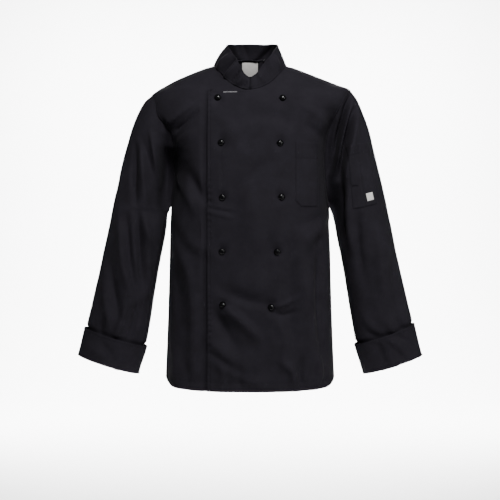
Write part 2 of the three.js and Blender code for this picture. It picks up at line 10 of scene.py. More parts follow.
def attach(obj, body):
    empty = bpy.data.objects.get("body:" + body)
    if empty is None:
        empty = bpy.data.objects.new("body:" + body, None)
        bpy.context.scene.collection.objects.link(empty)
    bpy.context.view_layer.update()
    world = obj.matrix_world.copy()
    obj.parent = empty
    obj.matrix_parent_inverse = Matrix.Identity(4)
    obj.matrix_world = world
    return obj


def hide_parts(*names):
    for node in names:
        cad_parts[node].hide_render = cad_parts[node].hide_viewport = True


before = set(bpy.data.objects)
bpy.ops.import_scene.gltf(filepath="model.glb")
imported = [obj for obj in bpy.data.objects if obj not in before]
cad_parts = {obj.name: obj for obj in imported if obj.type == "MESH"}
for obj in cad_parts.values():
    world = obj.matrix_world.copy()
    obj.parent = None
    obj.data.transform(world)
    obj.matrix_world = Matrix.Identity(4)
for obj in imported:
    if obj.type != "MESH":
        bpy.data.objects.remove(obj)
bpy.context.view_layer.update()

# Lengths are millimetres in the frame's axes until a mesh is made.
# X runs to the wearer's left, Y to the back and Z up, from the shoulder points beside the neck.
MM = 0.001
SAME_POINT = 0.03
CLOTH = 1.5
HEM = -756
UNDERARM = -338
SHOULDER_TIP = -65
ARMHOLE_MIDDLE = (UNDERARM + SHOULDER_TIP) / 2
ARMHOLE_HALF = (SHOULDER_TIP - UNDERARM) / 2
LAP = 98
# The last column of a front's net that runs straight down, at the chest pocket's outer edge
STRAIGHT_PART = 159
# The underlap steps down to lie below the lap
STEP_END = 118
STEP_HEIGHT = 24
UNDERLAP_DEPTH = 3.4
# The right front sinks in a groove beside the lap's edge: depth, and place and width across
GROOVE_DEPTH = 6.0
GROOVE_MIDDLE = 7
GROOVE_WIDTH = 6.0
BACK_NECK_TOP = 20
BACK_NECK_HALF = 34
# Distances of the stitched lines from a seam and from the hem
SEAM_ROW = 6.0
EDGE_ROW = 5.0
HEM_STITCH = 20

# The photograph's own measures
PHOTO_PIXELS = 500
MM_PER_PIXEL = 2.4
CAMERA_DISTANCE = 2800
CAMERA_HEIGHT = -333.6
HORIZON_ROW = 205
SENSOR = 36


def columns(names, rows):
    """A table as arrays by column name."""
    return {name: np.array(column, float) for name, column in zip(names.split(), zip(*rows))}


# Level sections through the body
TORSO = columns(
    "height half_width front back square",
    [
        (-756, 202, 138, 122, 2.5),
        (-600, 196, 134, 118, 2.5),
        (-450, 192, 132, 118, 2.5),
        (-338, 190, 134, 124, 2.5),
        (-240, 190, 131, 126, 2.5),
        (-165, 200, 121, 121, 2.5),
        (-110, 224, 105, 111, 2.5),
        (-85, 235, 94, 102, 2.35),
        (-65, 240, 82, 92, 2.1),
        (-50, 208, 72, 84, 2.05),
        (-36, 179, 62, 78, 2.1),
        (-22, 147, 50, 72, 2.1),
        (-7, 109, 36, 65, 2.0),
        (0, 88, 30, 62, 2.0),
        (22, 88, 30, 55, 2.0),
    ],
)
ARMHOLE_DEPTH = {"front": 62, "back": 56}
ARMHOLE_SQUARE = 2.3
NECK_FRONT = columns(
    "height reach",
    [(-65, 0), (-62, 15), (-57, 30), (-47, 47), (-36, 59), (-24, 69), (-12, 79), (0, 88)],
)
NECK_BACK = columns("height reach", [(0, 88), (3, 83), (8, 71), (14, 54), (20, 34)])
COLLAR_TOP = columns(
    "angle height",
    [(0, -35), (12, -27), (25, -6), (37, 10), (62, 36), (90, 49), (125, 55), (180, 58)],
)
COLLAR_RING = {"half_width": 61, "front": 66, "back": 50, "middle_y": -8}

# Sections down a sleeve: outer and inner edge in front view, depths, shift forward, armhole share
SLEEVE = columns(
    "out_x out_z in_x in_z front back shift armhole",
    [
        (240, -65, 190, -338, 62, 56, 0, 1),
        (254, -82, 192, -343, 65, 60, 0, 0.78),
        (269, -112, 193, -347, 67, 64, 0, 0.52),
        (285, -156, 195, -351, 69, 67, -1, 0.28),
        (297, -204, 197, -356, 71, 69, -2, 0.1),
        (308, -253, 199, -363, 71, 70, -4, 0),
        (321, -308, 202, -376, 71, 70, -6, 0),
        (334, -370, 207, -404, 69, 68, -9, 0),
        (348, -438, 219, -468, 65, 64, -13, 0),
        (362, -505, 231, -538, 60, 59, -18, 0),
        (375, -566, 241, -604, 54, 53, -24, 0),
        (389, -625, 253, -667, 47, 47, -30, 0),
        (406, -688, 270, -732, 45, 45, -34, 0),
    ],
)
SLEEVE_START_X = {"middle": 215, "half": 25}
CUFF_TOP_SECTION = 11
CUFF_END_SECTION = 12


def smooth_curve(x, y):
    """A curve through the points that never swings past them."""
    step, rise = np.diff(x), np.diff(y)
    secant = rise / step
    product = secant[:-1] * secant[1:]
    total = secant[:-1] + secant[1:]
    inner = np.where(product > 0, 2 * product / np.where(total == 0, 1, total), 0)
    slope = np.concatenate([secant[:1], inner, secant[-1:]])

    def at(value):
        i = np.clip(np.searchsorted(x, value, side="left") - 1, 0, len(x) - 2)
        t = np.clip((value - x[i]) / step[i], 0, 1)
        early = t * (1 - t) ** 2 * slope[i] * step[i]
        late = t * t * (t - 1) * slope[i + 1] * step[i]
        return y[i] + rise[i] * t * t * (3 - 2 * t) + early + late

    return at


def curves(table, key):
    return {name: smooth_curve(table[key], table[name]) for name in table if name != key}


torso_at = curves(TORSO, "height")
neck_front_at = smooth_curve(NECK_FRONT["height"], NECK_FRONT["reach"])
neck_back_at = smooth_curve(NECK_BACK["height"], NECK_BACK["reach"])
collar_height_at = smooth_curve(COLLAR_TOP["angle"], COLLAR_TOP["height"])
section_number = np.arange(len(SLEEVE["out_x"]), dtype=float)
sleeve_at = {name: smooth_curve(section_number, values) for name, values in SLEEVE.items()}


def smooth_step(t):
    t = np.clip(t, 0, 1)
    return t * t * (3 - 2 * t)


def across_section(share, square):
    """The other coordinate of a rounded oblong section, as a share of its half size."""
    return np.maximum(1 - np.minimum(np.abs(share), 1) ** square, 0) ** (1 / square)


def torso_y(x, z, face):
    depth = torso_at[face](z) * across_section(x / torso_at["half_width"](z), torso_at["square"](z))
    return -depth if face == "front" else depth


def panel_reach(z, face):
    """How far a front or the back reaches at a height: side seam, armhole or shoulder."""
    width = torso_at["half_width"](z)
    up = np.clip((z - ARMHOLE_MIDDLE) / ARMHOLE_HALF, -1, 1)
    depth = ARMHOLE_DEPTH[face] * across_section(up, ARMHOLE_SQUARE)
    cut = width * across_section(depth / torso_at[face](z), torso_at["square"](z))
    return np.where((z > UNDERARM) & (z < SHOULDER_TIP), cut, width)


def stations(*runs):
    """Places along a line: (start, end, step) runs joined end to end."""
    parts = []
    for start, end, step in runs:
        count = max(1, round(abs(end - start) / step))
        parts.append(np.linspace(start, end, count, endpoint=False))
    return np.concatenate([*parts, [runs[-1][1]]])


# Folds of the cloth: a line of places in front view, the fold's width, its height and its lean.
# A height above nothing stands out and one below sinks in.
# A lean above nothing makes the left of the line's way the gentle side.
RIGHT_FRONT_FOLDS = [
    ([(-192, -150), (-166, -130), (-130, -98)], 11, 6.5, 0.6),
    ([(-188, -168), (-160, -147), (-122, -115)], 5, -5.5, 0),
    ([(-176, -196), (-152, -176), (-122, -160)], 12, 4, -0.3),
    ([(-150, -250), (-130, -288), (-107, -326)], 12, -7, 0.2),
    ([(-176, -262), (-150, -300), (-128, -346)], 11, 5, 0),
    ([(-183, -338), (-156, -396), (-128, -428), (-99, -438)], 15, 3, 0),
    ([(-180, -372), (-152, -428), (-124, -456), (-99, -464)], 16, -1.5, 0),
    ([(-176, -410), (-150, -470), (-132, -520)], 14, 4, 0),
    ([(-112, -366), (-111, -438)], 2.6, 1.8, 0),
    ([(-106, -362), (-105, -436)], 2.4, 1.6, 0),
    ([(-186, -480), (-168, -540), (-160, -620)], 14, -4, 0.3),
    ([(-140, -500), (-130, -600), (-134, -690)], 15, 4.5, 0.2),
    ([(-112, -540), (-110, -640), (-116, -735)], 10, -4, 0),
    ([(-182, -640), (-172, -700), (-178, -752)], 12, 4, 0),
    ([(-150, -690), (-146, -720), (-150, -754)], 9, -3, 0),
]
LEFT_FRONT_FOLDS = [
    ([(-66, -204), (-65, -302)], 1.8, -1.1, 0),
    ([(-88, -342), (-35, -352)], 3, -1.6, 0),
    ([(-92, -352), (-40, -363)], 4, 1.6, 0),
    ([(-62, -530), (-10, -552), (46, -562)], 15, -6, 0.3),
    ([(-58, -568), (-24, -592), (22, -638)], 13, 12, -0.4),
    ([(-84, -560), (-70, -600), (-30, -660)], 13, -6, 0),
    ([(-92, -640), (-60, -672), (-10, -700)], 13, 4.5, 0),
    ([(-80, -690), (-30, -716), (30, -742)], 11, 5, 0),
    ([(-96, -668), (-50, -700), (0, -726)], 9, -3.5, 0),
    ([(49, -568), (78, -562), (108, -545)], 6, 4, 0),
    ([(52, -580), (78, -586), (110, -578)], 6, -4, 0),
    ([(60, -598), (84, -640), (76, -700)], 12, 4.5, 0),
    ([(122, -400), (130, -530), (136, -668)], 22, 6.5, 0),
    ([(92, -430), (94, -550), (90, -660)], 15, -4.5, 0),
    ([(160, -420), (162, -540), (168, -670)], 12, -4, 0),
    ([(168, -420), (164, -560), (172, -680)], 13, -5.5, 0),
    ([(70, -690), (96, -712), (106, -752)], 9, 7, 0),
    ([(120, -684), (116, -720), (124, -754)], 8, -6, 0),
    ([(158, -680), (160, -722), (148, -754)], 8, 6.5, 0),
    ([(-70, -690), (-62, -720), (-66, -754)], 9, 3, 0),
    ([(-20, -680), (-26, -720), (-20, -754)], 10, -3, 0),
    ([(40, -390), (46, -430), (36, -500)], 15, -4, 0),
    ([(10, -205), (-4, -300), (14, -420)], 24, 4, 0),
    ([(110, -150), (60, -128), (10, -120)], 18, -3.5, 0),
    ([(60, -230), (20, -250), (-30, -300)], 16, -3, 0),
    ([(184, -160), (154, -124), (116, -98)], 13, 5, 0),
    ([(176, -184), (150, -160), (126, -146)], 10, -4, 0),
    ([(-80, -120), (-50, -150), (-20, -210)], 16, 3, 0),
    ([(183, -345), (146, -372), (100, -384)], 13, -2.4, 0),
    ([(182, -366), (150, -398), (112, -420)], 13, 3, 0.3),
    ([(180, -392), (152, -430), (120, -470)], 14, -2, 0),
]
BACK_FOLDS = [
    ([(176, -190), (130, -150), (90, -140)], 12, 5.5, 0.3),
    ([(-176, -200), (-134, -156), (-84, -136)], 13, 6, -0.3),
    ([(170, -235), (120, -215), (70, -230)], 13, -5.5, 0),
    ([(-172, -250), (-118, -232), (-60, -260)], 14, -6, 0),
    ([(182, -330), (140, -390), (90, -430)], 13, 7, 0.3),
    ([(-182, -320), (-130, -400), (-70, -460)], 14, 7, -0.3),
    ([(176, -380), (120, -450), (50, -480)], 14, -6, 0),
    ([(-172, -380), (-114, -460), (-40, -520)], 14, -6, 0),
    ([(60, -480), (80, -600), (70, -740)], 18, 6.5, 0.2),
    ([(20, -470), (16, -590), (26, -740)], 18, -6, 0),
    ([(-50, -520), (-56, -620), (-44, -745)], 18, 6.5, 0),
    ([(-110, -500), (-118, -640), (-104, -750)], 16, -6, 0.2),
    ([(130, -540), (140, -640), (128, -750)], 14, -5, 0),
    ([(-160, -560), (-162, -660), (-156, -750)], 13, 5, 0),
    ([(168, -560), (172, -660), (164, -750)], 12, 4, 0),
    ([(0, -90), (6, -180), (-4, -260)], 28, -4, 0),
]
RIGHT_SLEEVE_FRONT = [
    ([(-200, -180), (-198, -250), (-204, -340)], 13, -14, 0),
    ([(-232, -168), (-224, -220), (-214, -290)], 8, 7, 0.3),
    ([(-256, -176), (-240, -226), (-226, -280)], 8, -4, 0),
    ([(-272, -190), (-273, -262), (-268, -330)], 7, -8, 0.2),
    ([(-254, -190), (-250, -262), (-244, -336)], 9, 7, 0),
    ([(-300, -170), (-304, -240), (-310, -310)], 9, 4, 0),
    ([(-310, -320), (-300, -400), (-290, -480), (-272, -560)], 13, 8, 0),
    ([(-292, -360), (-284, -455), (-264, -545)], 10, -10, 0),
    ([(-262, -350), (-254, -442), (-246, -535)], 9, -10, 0),
    ([(-248, -366), (-240, -400), (-232, -434)], 9, 6, 0),
    ([(-238, -440), (-240, -500), (-248, -560)], 8, 5, 0),
    ([(-332, -450), (-322, -530), (-304, -600)], 11, -7, 0.2),
    ([(-346, -520), (-336, -570), (-330, -620)], 9, 5, 0),
    ([(-290, -560), (-300, -605), (-318, -650)], 8, 6, 0),
    ([(-262, -560), (-270, -605), (-284, -650)], 8, -6, 0),
    ([(-342, -600), (-350, -620), (-352, -648)], 7, -4, 0),
]
LEFT_SLEEVE_FRONT = [
    ([(234, -78), (212, -156), (192, -250)], 7, -21, 0),
    ([(243, -90), (222, -168), (202, -256)], 5, 4, 0),
    ([(246, -110), (226, -184), (205, -272)], 7, -22, 0),
    ([(257, -108), (241, -184), (224, -262)], 8, 6, 0.3),
    ([(208, -240), (208, -320), (214, -410)], 12, -14, 0),
    ([(230, -300), (228, -360), (240, -440)], 9, 6, 0),
    ([(250, -350), (252, -420), (262, -500)], 10, -4, 0),
    ([(300, -380), (306, -470), (318, -560)], 17, 5, 0.3),
    ([(262, -440), (270, -510), (286, -600)], 18, -2, 0),
    ([(336, -450), (342, -530), (356, -600)], 12, -5, 0),
    ([(262, -584), (278, -612), (304, -630)], 9, 3, 0),
    ([(272, -628), (288, -638), (302, -638)], 6, -3, 0),
    ([(320, -604), (334, -628), (352, -644)], 9, 4, 0),
    ([(348, -600), (360, -622), (372, -634)], 7, -4, 0),
]
RIGHT_SLEEVE_BACK = [
    ([(-240, -120), (-222, -210), (-200, -300)], 11, -11, 0),
    ([(-262, -160), (-250, -250), (-240, -330)], 11, 7, 0.2),
    ([(-230, -350), (-262, -400), (-300, -420)], 11, -8, 0),
    ([(-232, -390), (-270, -440), (-315, -460)], 12, 8, 0.3),
    ([(-250, -450), (-290, -500), (-330, -510)], 11, -7, 0),
    ([(-262, -500), (-300, -540), (-340, -546)], 11, 6, 0),
    ([(-330, -560), (-318, -600), (-300, -640)], 11, 5, 0),
    ([(-290, -560), (-286, -610), (-296, -650)], 10, -5.5, 0),
]
LEFT_SLEEVE_BACK = [
    ([(238, -118), (220, -210), (202, -300)], 11, -11, 0),
    ([(266, -150), (252, -240), (238, -330)], 12, 7, 0.2),
    ([(226, -352), (256, -396), (292, -412)], 11, -7.5, 0),
    ([(238, -398), (280, -446), (320, -452)], 12, 8, 0.3),
    ([(256, -462), (296, -506), (336, -520)], 11, -7, 0),
    ([(268, -512), (306, -552), (346, -560)], 11, 5.5, 0),
    ([(336, -570), (324, -610), (310, -645)], 11, 5, 0),
    ([(300, -560), (290, -600), (290, -645)], 10, -5.5, 0),
]
# Where the front sinks in beside the arms, across seams
ARM_HOLLOWS = [
    ([(-184, -196), (-192, -262), (-208, -345)], 28, 54, 0),
    ([(-154, -226), (-166, -285), (-188, -352)], 17, 15, 0),
    ([(196, -128), (184, -230), (197, -410)], 19, 54, 0),
    ([(206, -300), (206, -360), (214, -430)], 10, 10, 0),
]
CUFF_FOLDS = [
    ([(308, -640), (342, -666), (376, -696)], 8, 4.5, 0.3),
    ([(288, -650), (306, -680), (318, -716)], 10, -4, 0),
    ([(340, -640), (366, -656), (384, -672)], 7, -2.5, 0),
    ([(-386, -660), (-356, -680), (-318, -694)], 10, 1.6, 0),
    ([(-352, -650), (-330, -676), (-312, -712)], 9, -2, 0),
]
COLLAR_FOLDS = [
    ([(-76, -14), (-64, 4), (-48, 22)], 5, 3.4, 0.2),
    ([(-70, -28), (-56, -8), (-40, 12)], 4.5, -4.2, 0),
    ([(-60, -38), (-46, -20), (-33, 0)], 4.5, 3.8, 0),
    ([(-48, -48), (-36, -32), (-25, -14)], 4, -3.6, 0),
    ([(-34, -56), (-24, -44), (-15, -28)], 4, 2.6, 0),
    ([(-20, -60), (-13, -52), (-8, -42)], 3.5, -1.8, 0),
    ([(70, -18), (60, 2), (50, 18)], 6, 2.0, 0),
    ([(56, -34), (44, -14), (36, 4)], 5.5, -2.0, 0),
    ([(36, -50), (26, -36), (18, -24)], 5, 1.6, 0),
]
COLLAR_BACK_FOLDS = [
    ([(10, 20), (24, 38), (34, 58)], 5, -3.5, 0),
    ([(24, 18), (38, 34), (48, 52)], 5, 3, 0),
    ([(-22, 22), (-34, 38), (-44, 56)], 6, -3, 0),
    ([(-6, 20), (-10, 40), (-20, 58)], 7, 2, 0),
]
# What the tables' heights are multiplied by; the hollows beside the arms stay as they are
FOLD_GAIN = 1.65
COLLAR_GAIN = 2.805


def bent_line(points, count=10):
    """A soft curve through two to four given points."""
    points = np.array(points, float)
    at = np.linspace(0, 1, len(points))
    t = np.linspace(0, 1, count)
    return np.stack([smooth_curve(at, points[:, k])(t) for k in range(2)], axis=1)


def ridge(distance, width):
    """A swell of height one along a line, fading out at about twice its width."""
    return np.exp(-((distance / width) ** 2))


def fold_height(folds, x, z, gain=FOLD_GAIN):
    """The sum of the folds at points in front view, fading out at each fold's ends."""
    total = np.zeros(np.shape(x))
    for points, width, height, lean in folds:
        line = bent_line(points)
        parts = len(line) - 1
        best = np.full(np.shape(x), np.inf)
        along, hand = np.zeros(np.shape(x)), np.zeros(np.shape(x))
        for i in range(parts):
            dx, dz = line[i + 1] - line[i]
            from_x, from_z = x - line[i, 0], z - line[i, 1]
            t = np.clip((from_x * dx + from_z * dz) / (dx * dx + dz * dz), 0, 1)
            off_x, off_z = from_x - t * dx, from_z - t * dz
            away = np.hypot(off_x, off_z)
            nearer = away < best
            along = np.where(nearer, (i + t) / parts, along)
            turned = (dx * off_z - dz * off_x) / (np.hypot(dx, dz) * (away + 0.01))
            hand = np.where(nearer, turned, hand)
            best = np.minimum(best, away)
        wide = width * (1 + lean * np.clip(hand * 2, -1, 1))
        swell = 0.3 + 0.7 * np.sin(np.pi * np.clip(along, 0, 1)) ** 0.8
        total += gain * height * swell * ridge(best, wide)
    return total


def rumple(x, y, z):
    """The slight unevenness of worn, washed cloth, from waves that never fall in step."""
    soft = np.sin(x / 31 + 1.7 * np.sin(z / 67)) * np.sin(z / 43 + 1.3 * np.sin(x / 58 + y / 70))
    fine = np.sin(x / 13 + z / 29 + 2.1 * np.sin(z / 37)) * np.sin(z / 17 - y / 23 + np.sin(x / 19))
    return 0.7 * soft + 0.2 * fine


# Radius at which cloth rolls into a seam, and the turning's depth below it
ROLL = 1.2
TURNING = 5.0


def rolled_edge(distance):
    """Height of cloth that rolls down into a seam, measured from the seam."""
    short = np.clip(ROLL - distance, 0, ROLL)
    return np.sqrt(ROLL**2 - short**2) - ROLL


def topstitch(distance, row=SEAM_ROW):
    """Height of cloth beside an edge: the turning fills it out and the stitched line pulls it in."""
    return 0.4 * ridge(distance - 0.5 * row, 0.4 * row) - 0.55 * ridge(distance - row, 1.2)


# Meshes


def unit(v):
    return v / np.maximum(np.linalg.norm(v, axis=-1, keepdims=True), 1e-9)


def grid_normals(points, wrap=False):
    """Outward normals of a net whose columns run round and whose rows run up."""
    if wrap:
        ring = np.concatenate([points[:, -1:], points, points[:, :1]], axis=1)
        across = ring[:, 2:] - ring[:, :-2]
    else:
        across = np.gradient(points, axis=1)
    up = np.gradient(points, axis=0)
    return unit(np.cross(across, up))


def lift(points, height, wrap=False, flip=1):
    return points + grid_normals(points, wrap) * flip * height[..., None]


def faces_of(shape, keep=None, wrap=False, flip=False):
    """The four-sided faces between a net's points, all of them or those to keep."""
    rows, count = shape
    r, c = np.meshgrid(np.arange(rows - 1), np.arange(count if wrap else count - 1), indexing="ij")
    if keep is not None:
        r, c = r[keep], c[keep]
    right = (c + 1) % count
    corners = [r * count + c, r * count + right, (r + 1) * count + right, (r + 1) * count + c]
    quads = np.stack(corners, axis=-1).reshape(-1, 4)
    return quads[:, ::-1] if flip else quads


def link_object(name, data):
    thing = bpy.data.objects.new(name, data)
    bpy.context.scene.collection.objects.link(thing)
    return thing


def add_mesh(name, points, faces, material):
    """A smooth mesh that rides on the jacket, without doubled or unused points."""
    mesh = bpy.data.meshes.new(name)
    corners = [list(map(int, face)) for face in faces]
    mesh.from_pydata((np.asarray(points).reshape(-1, 3) * MM).tolist(), [], corners)
    body = bmesh.new()
    body.from_mesh(mesh)
    bmesh.ops.remove_doubles(body, verts=body.verts, dist=SAME_POINT * MM)
    bmesh.ops.delete(body, geom=[v for v in body.verts if not v.link_faces], context="VERTS")
    body.to_mesh(mesh)
    body.free()
    mesh.materials.append(material)
    mesh.polygons.foreach_set("use_smooth", [True] * len(mesh.polygons))
    mesh.update()
    piece = link_object(name, mesh)
    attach(piece, "root")
    return piece


def add_cloth(name, points, faces, material, thickness=CLOTH, edge=0.55):
    """A sheet that gets its wall inwards, with the edges of the wall rounded."""
    piece = add_mesh(name, points, faces, material)
    wall = piece.modifiers.new("wall", "SOLIDIFY")
    wall.thickness = thickness * MM
    wall.offset = -1
    rounding = piece.modifiers.new("soft_edges", "BEVEL")
    rounding.width = edge * MM
    rounding.segments = 2
    rounding.limit_method = "ANGLE"
    rounding.angle_limit = math.radians(55)
    return piece


def cast_tree(points, faces):
    corners = [list(map(int, face)) for face in faces]
    return BVHTree.FromPolygons(points.reshape(-1, 3).tolist(), corners, all_triangles=False)


def on_cloth(tree, x, z, from_y=-600):
    """Points and outward normals where lines along Y first meet a cloth."""
    places, normals = [], []
    for px, pz in zip(np.ravel(x), np.ravel(z)):
        hit, normal, _, _ = tree.ray_cast(Vector((px, from_y, pz)), Vector((0, 1, 0)))
        if hit is None:
            hit, normal, _, _ = tree.find_nearest(Vector((px, from_y * 0.1, pz)))
        places.append(hit)
        normals.append(-normal if normal.y > 0 else normal)
    shape = (*np.shape(x), 3)
    return np.array(places).reshape(shape), np.array(normals).reshape(shape)


# Materials


def linear(hex_colour):
    """An sRGB hex value as linear red, green, blue and alpha."""
    values = [int(hex_colour[i : i + 2], 16) / 255 for i in (1, 3, 5)]
    return [v / 12.92 if v <= 0.04045 else ((v + 0.055) / 1.055) ** 2.4 for v in values] + [1]


def add_node(tree, kind, settings=None, links=None):
    """Adds a shader node, sets its properties and sockets, and links its inputs."""
    node = tree.nodes.new(kind)
    for key, value in (settings or {}).items():
        if isinstance(key, str) and hasattr(node, key):
            setattr(node, key, value)
        else:
            node.inputs[key].default_value = value
    for key, source in (links or {}).items():
        tree.links.new(source, node.inputs[key])
    return node


def new_material(name, settings):
    """A material with its shader set, and the place in the frame that its patterns follow."""
    material = bpy.data.materials.new(name)
    material.use_nodes = True
    tree = material.node_tree
    shader = tree.nodes["Principled BSDF"]
    for key, value in settings.items():
        shader.inputs[key].default_value = value
    return material, tree, shader, add_node(tree, "ShaderNodeTexCoord").outputs["Object"]


def grained_material(name, finish, dark, light, grain):
    """A material whose colour drifts between two shades, with the noise that it follows."""
    material, tree, shader, place = new_material(name, finish)
    noise = add_node(tree, "ShaderNodeTexNoise", grain, {"Vector": place}).outputs["Fac"]
    shades = {"data_type": "RGBA", 6: linear(dark), 7: linear(light)}
    colour = add_node(tree, "ShaderNodeMix", shades, {0: noise})
    tree.links.new(colour.outputs[2], shader.inputs["Base Color"])
    return material, tree, shader, place, noise


# How far apart, in metres, a wave texture's bands lie at a scale of 1
BAND_GAP = 0.31


def polycotton_twill():
    """Piece-dyed black twill: matt, a little uneven from washing, with a soft bloom at its edges."""
    finish = {"Roughness": 0.9, "Specular IOR Level": 0.07}
    finish |= {"Sheen Weight": 0.01, "Sheen Roughness": 0.5}
    material, tree, shader, place = new_material("black_polycotton_twill", finish)
    at_place = {"Vector": place}
    # Dye takes unevenly in patches some 40 mm across
    dyeing = {"Scale": 1 / 0.040, "Detail": 4.0, "Roughness": 0.6}
    patches = add_node(tree, "ShaderNodeTexNoise", dyeing, at_place)
    # Slubs in the yarn, 1.5 mm long
    yarn = {"Scale": 1 / 0.0015, "Detail": 2.0, "Roughness": 0.7}
    slubs = add_node(tree, "ShaderNodeTexNoise", yarn, at_place)
    both = {0: slubs.outputs["Fac"], 2: patches.outputs["Fac"]}
    mixed = add_node(tree, "ShaderNodeMath", {"operation": "MULTIPLY_ADD", 1: 0.45}, both)
    reach = {"From Min": 0.45, "From Max": 1.0}
    shade = add_node(tree, "ShaderNodeMapRange", reach, {"Value": mixed.outputs[0]})
    shades = {"data_type": "RGBA", 6: linear("#201e23"), 7: linear("#27252b")}
    colour = add_node(tree, "ShaderNodeMix", shades, {0: shade.outputs[0]})
    tree.links.new(colour.outputs[2], shader.inputs["Base Color"])
    # The twill's diagonal ribs are 0.5 mm apart, drawn at 0.9 mm so that they show
    slant = {"Rotation": (0.0, math.radians(38), 0.0)}
    turned = add_node(tree, "ShaderNodeMapping", slant, at_place)
    rows = {"wave_type": "BANDS", "bands_direction": "X", "Distortion": 1.2, "Detail": 1.0}
    rows["Scale"] = BAND_GAP / 0.0009
    ribs = add_node(tree, "ShaderNodeTexWave", rows, {"Vector": turned.outputs[0]})
    depth = {"Strength": 0.25, "Distance": 0.00018}
    weave = add_node(tree, "ShaderNodeBump", depth, {"Height": ribs.outputs["Fac"]})
    # Small creases from wear, 9 mm apart
    wear = {"Scale": 1 / 0.009, "Detail": 3.0, "Roughness": 0.55}
    crumple = add_node(tree, "ShaderNodeTexNoise", wear, at_place)
    over_weave = {"Height": crumple.outputs["Fac"], "Normal": weave.outputs[0]}
    worn = add_node(tree, "ShaderNodeBump", {"Strength": 0.35, "Distance": 0.0009}, over_weave)
    tree.links.new(worn.outputs[0], shader.inputs["Normal"])
    return material


def moulded_nylon():
    """Injection-moulded black nylon, polished: a tight bright highlight on each stud."""
    finish = {"Roughness": 0.18, "IOR": 1.53, "Specular IOR Level": 0.25}
    # Fine scuffs, 2 mm apart, dull the polish in places
    wear = {"Scale": 1 / 0.002, "Detail": 3.0}
    material, tree, shader, _, scuffs = grained_material(
        "black_moulded_nylon", finish, "#060607", "#0c0c0e", wear
    )
    reach = {"To Min": 0.14, "To Max": 0.26}
    gloss = add_node(tree, "ShaderNodeMapRange", reach, {"Value": scuffs})
    tree.links.new(gloss.outputs[0], shader.inputs["Roughness"])
    return material


def woven_satin():
    """Damask-woven polyester label tape: smooth, faintly ribbed across, off-white."""
    finish = {"Roughness": 0.62, "Sheen Weight": 0.15, "Specular IOR Level": 0.4}
    # The white drifts a little every 8 mm
    drift = {"Scale": 1 / 0.008, "Detail": 2.0}
    material, tree, shader, place, _ = grained_material(
        "white_woven_satin", finish, "#d2cfcb", "#e9e7e4", drift
    )
    # Weft picks, 0.4 mm apart
    weft = {"bands_direction": "Z", "Scale": BAND_GAP / 0.0004, "Distortion": 0.4}
    picks = add_node(tree, "ShaderNodeTexWave", weft, {"Vector": place})
    depth = {"Strength": 0.3, "Distance": 0.00012}
    ribbed = add_node(tree, "ShaderNodeBump", depth, {"Height": picks.outputs["Fac"]})
    tree.links.new(ribbed.outputs[0], shader.inputs["Normal"])
    return material


def spun_thread(name, dark, light, shine):
    """Spun polyester sewing thread: twisted plies that catch a little light where they stand up."""
    finish = {"Roughness": 0.7, "Specular IOR Level": shine}
    # Plies show as flecks 0.8 mm long
    return grained_material(name, finish, dark, light, {"Scale": 1 / 0.0008, "Detail": 1.0})[0]


twill = polycotton_twill()
nylon = moulded_nylon()
satin = woven_satin()
black_thread = spun_thread("black_spun_thread", "#131215", "#1d1c20", 0.06)
pale_thread = spun_thread("pale_spun_thread", "#9c9a9f", "#c4c2c6", 0.4)


# Camera, light and floor


def place_camera():
    data = bpy.data.cameras.new("photo_camera")
    data.sensor_width = SENSOR
    data.lens = SENSOR * CAMERA_DISTANCE / MM_PER_PIXEL / PHOTO_PIXELS
    data.shift_y = (HORIZON_ROW - PHOTO_PIXELS / 2) / PHOTO_PIXELS
    camera = link_object("photo_camera", data)
    camera.location = (0, -CAMERA_DISTANCE * MM, CAMERA_HEIGHT * MM)
    camera.rotation_euler = (math.pi / 2, 0, 0)
    bpy.context.scene.camera = camera


def softbox(name, place, aim, size, power):
    data = bpy.data.lights.new(name, "AREA")
    data.shape = "RECTANGLE"
    data.size, data.size_y = size
    data.energy = power
    lamp = link_object(name, data)
    lamp.location = place
    lamp.rotation_euler = (Vector(aim) - Vector(place)).to_track_quat("-Z", "Y").to_euler()


def light_studio():
    """A high key light, a low fill from the side, and lights that whiten the wall and the floor."""
    world = bpy.data.worlds.new("studio")
    world.use_nodes = True
    sky = world.node_tree.nodes["Background"]
    sky.inputs["Color"].default_value = (1, 1, 1, 1)
    sky.inputs["Strength"].default_value = 0.10
    bpy.context.scene.world = world
    softbox("key", (0.3, -2.3, 1.85), (0, 0, -0.2), (0.6, 0.6), 98)
    softbox("fill", (1.9, -2.0, 0.3), (0, 0, -0.35), (0.9, 1.6), 22)
    softbox("backdrop_left", (-1.7, 3.2, 0.6), (0.4, 5.5, -0.4), (1.0, 2.0), 430)
    softbox("backdrop_right", (1.7, 3.2, 0.6), (-0.4, 5.5, -0.4), (1.0, 2.0), 430)
    softbox("floor_light", (0.0, 3.4, 1.6), (0.0, 3.1, -1.5), (2.4, 1.6), 330)


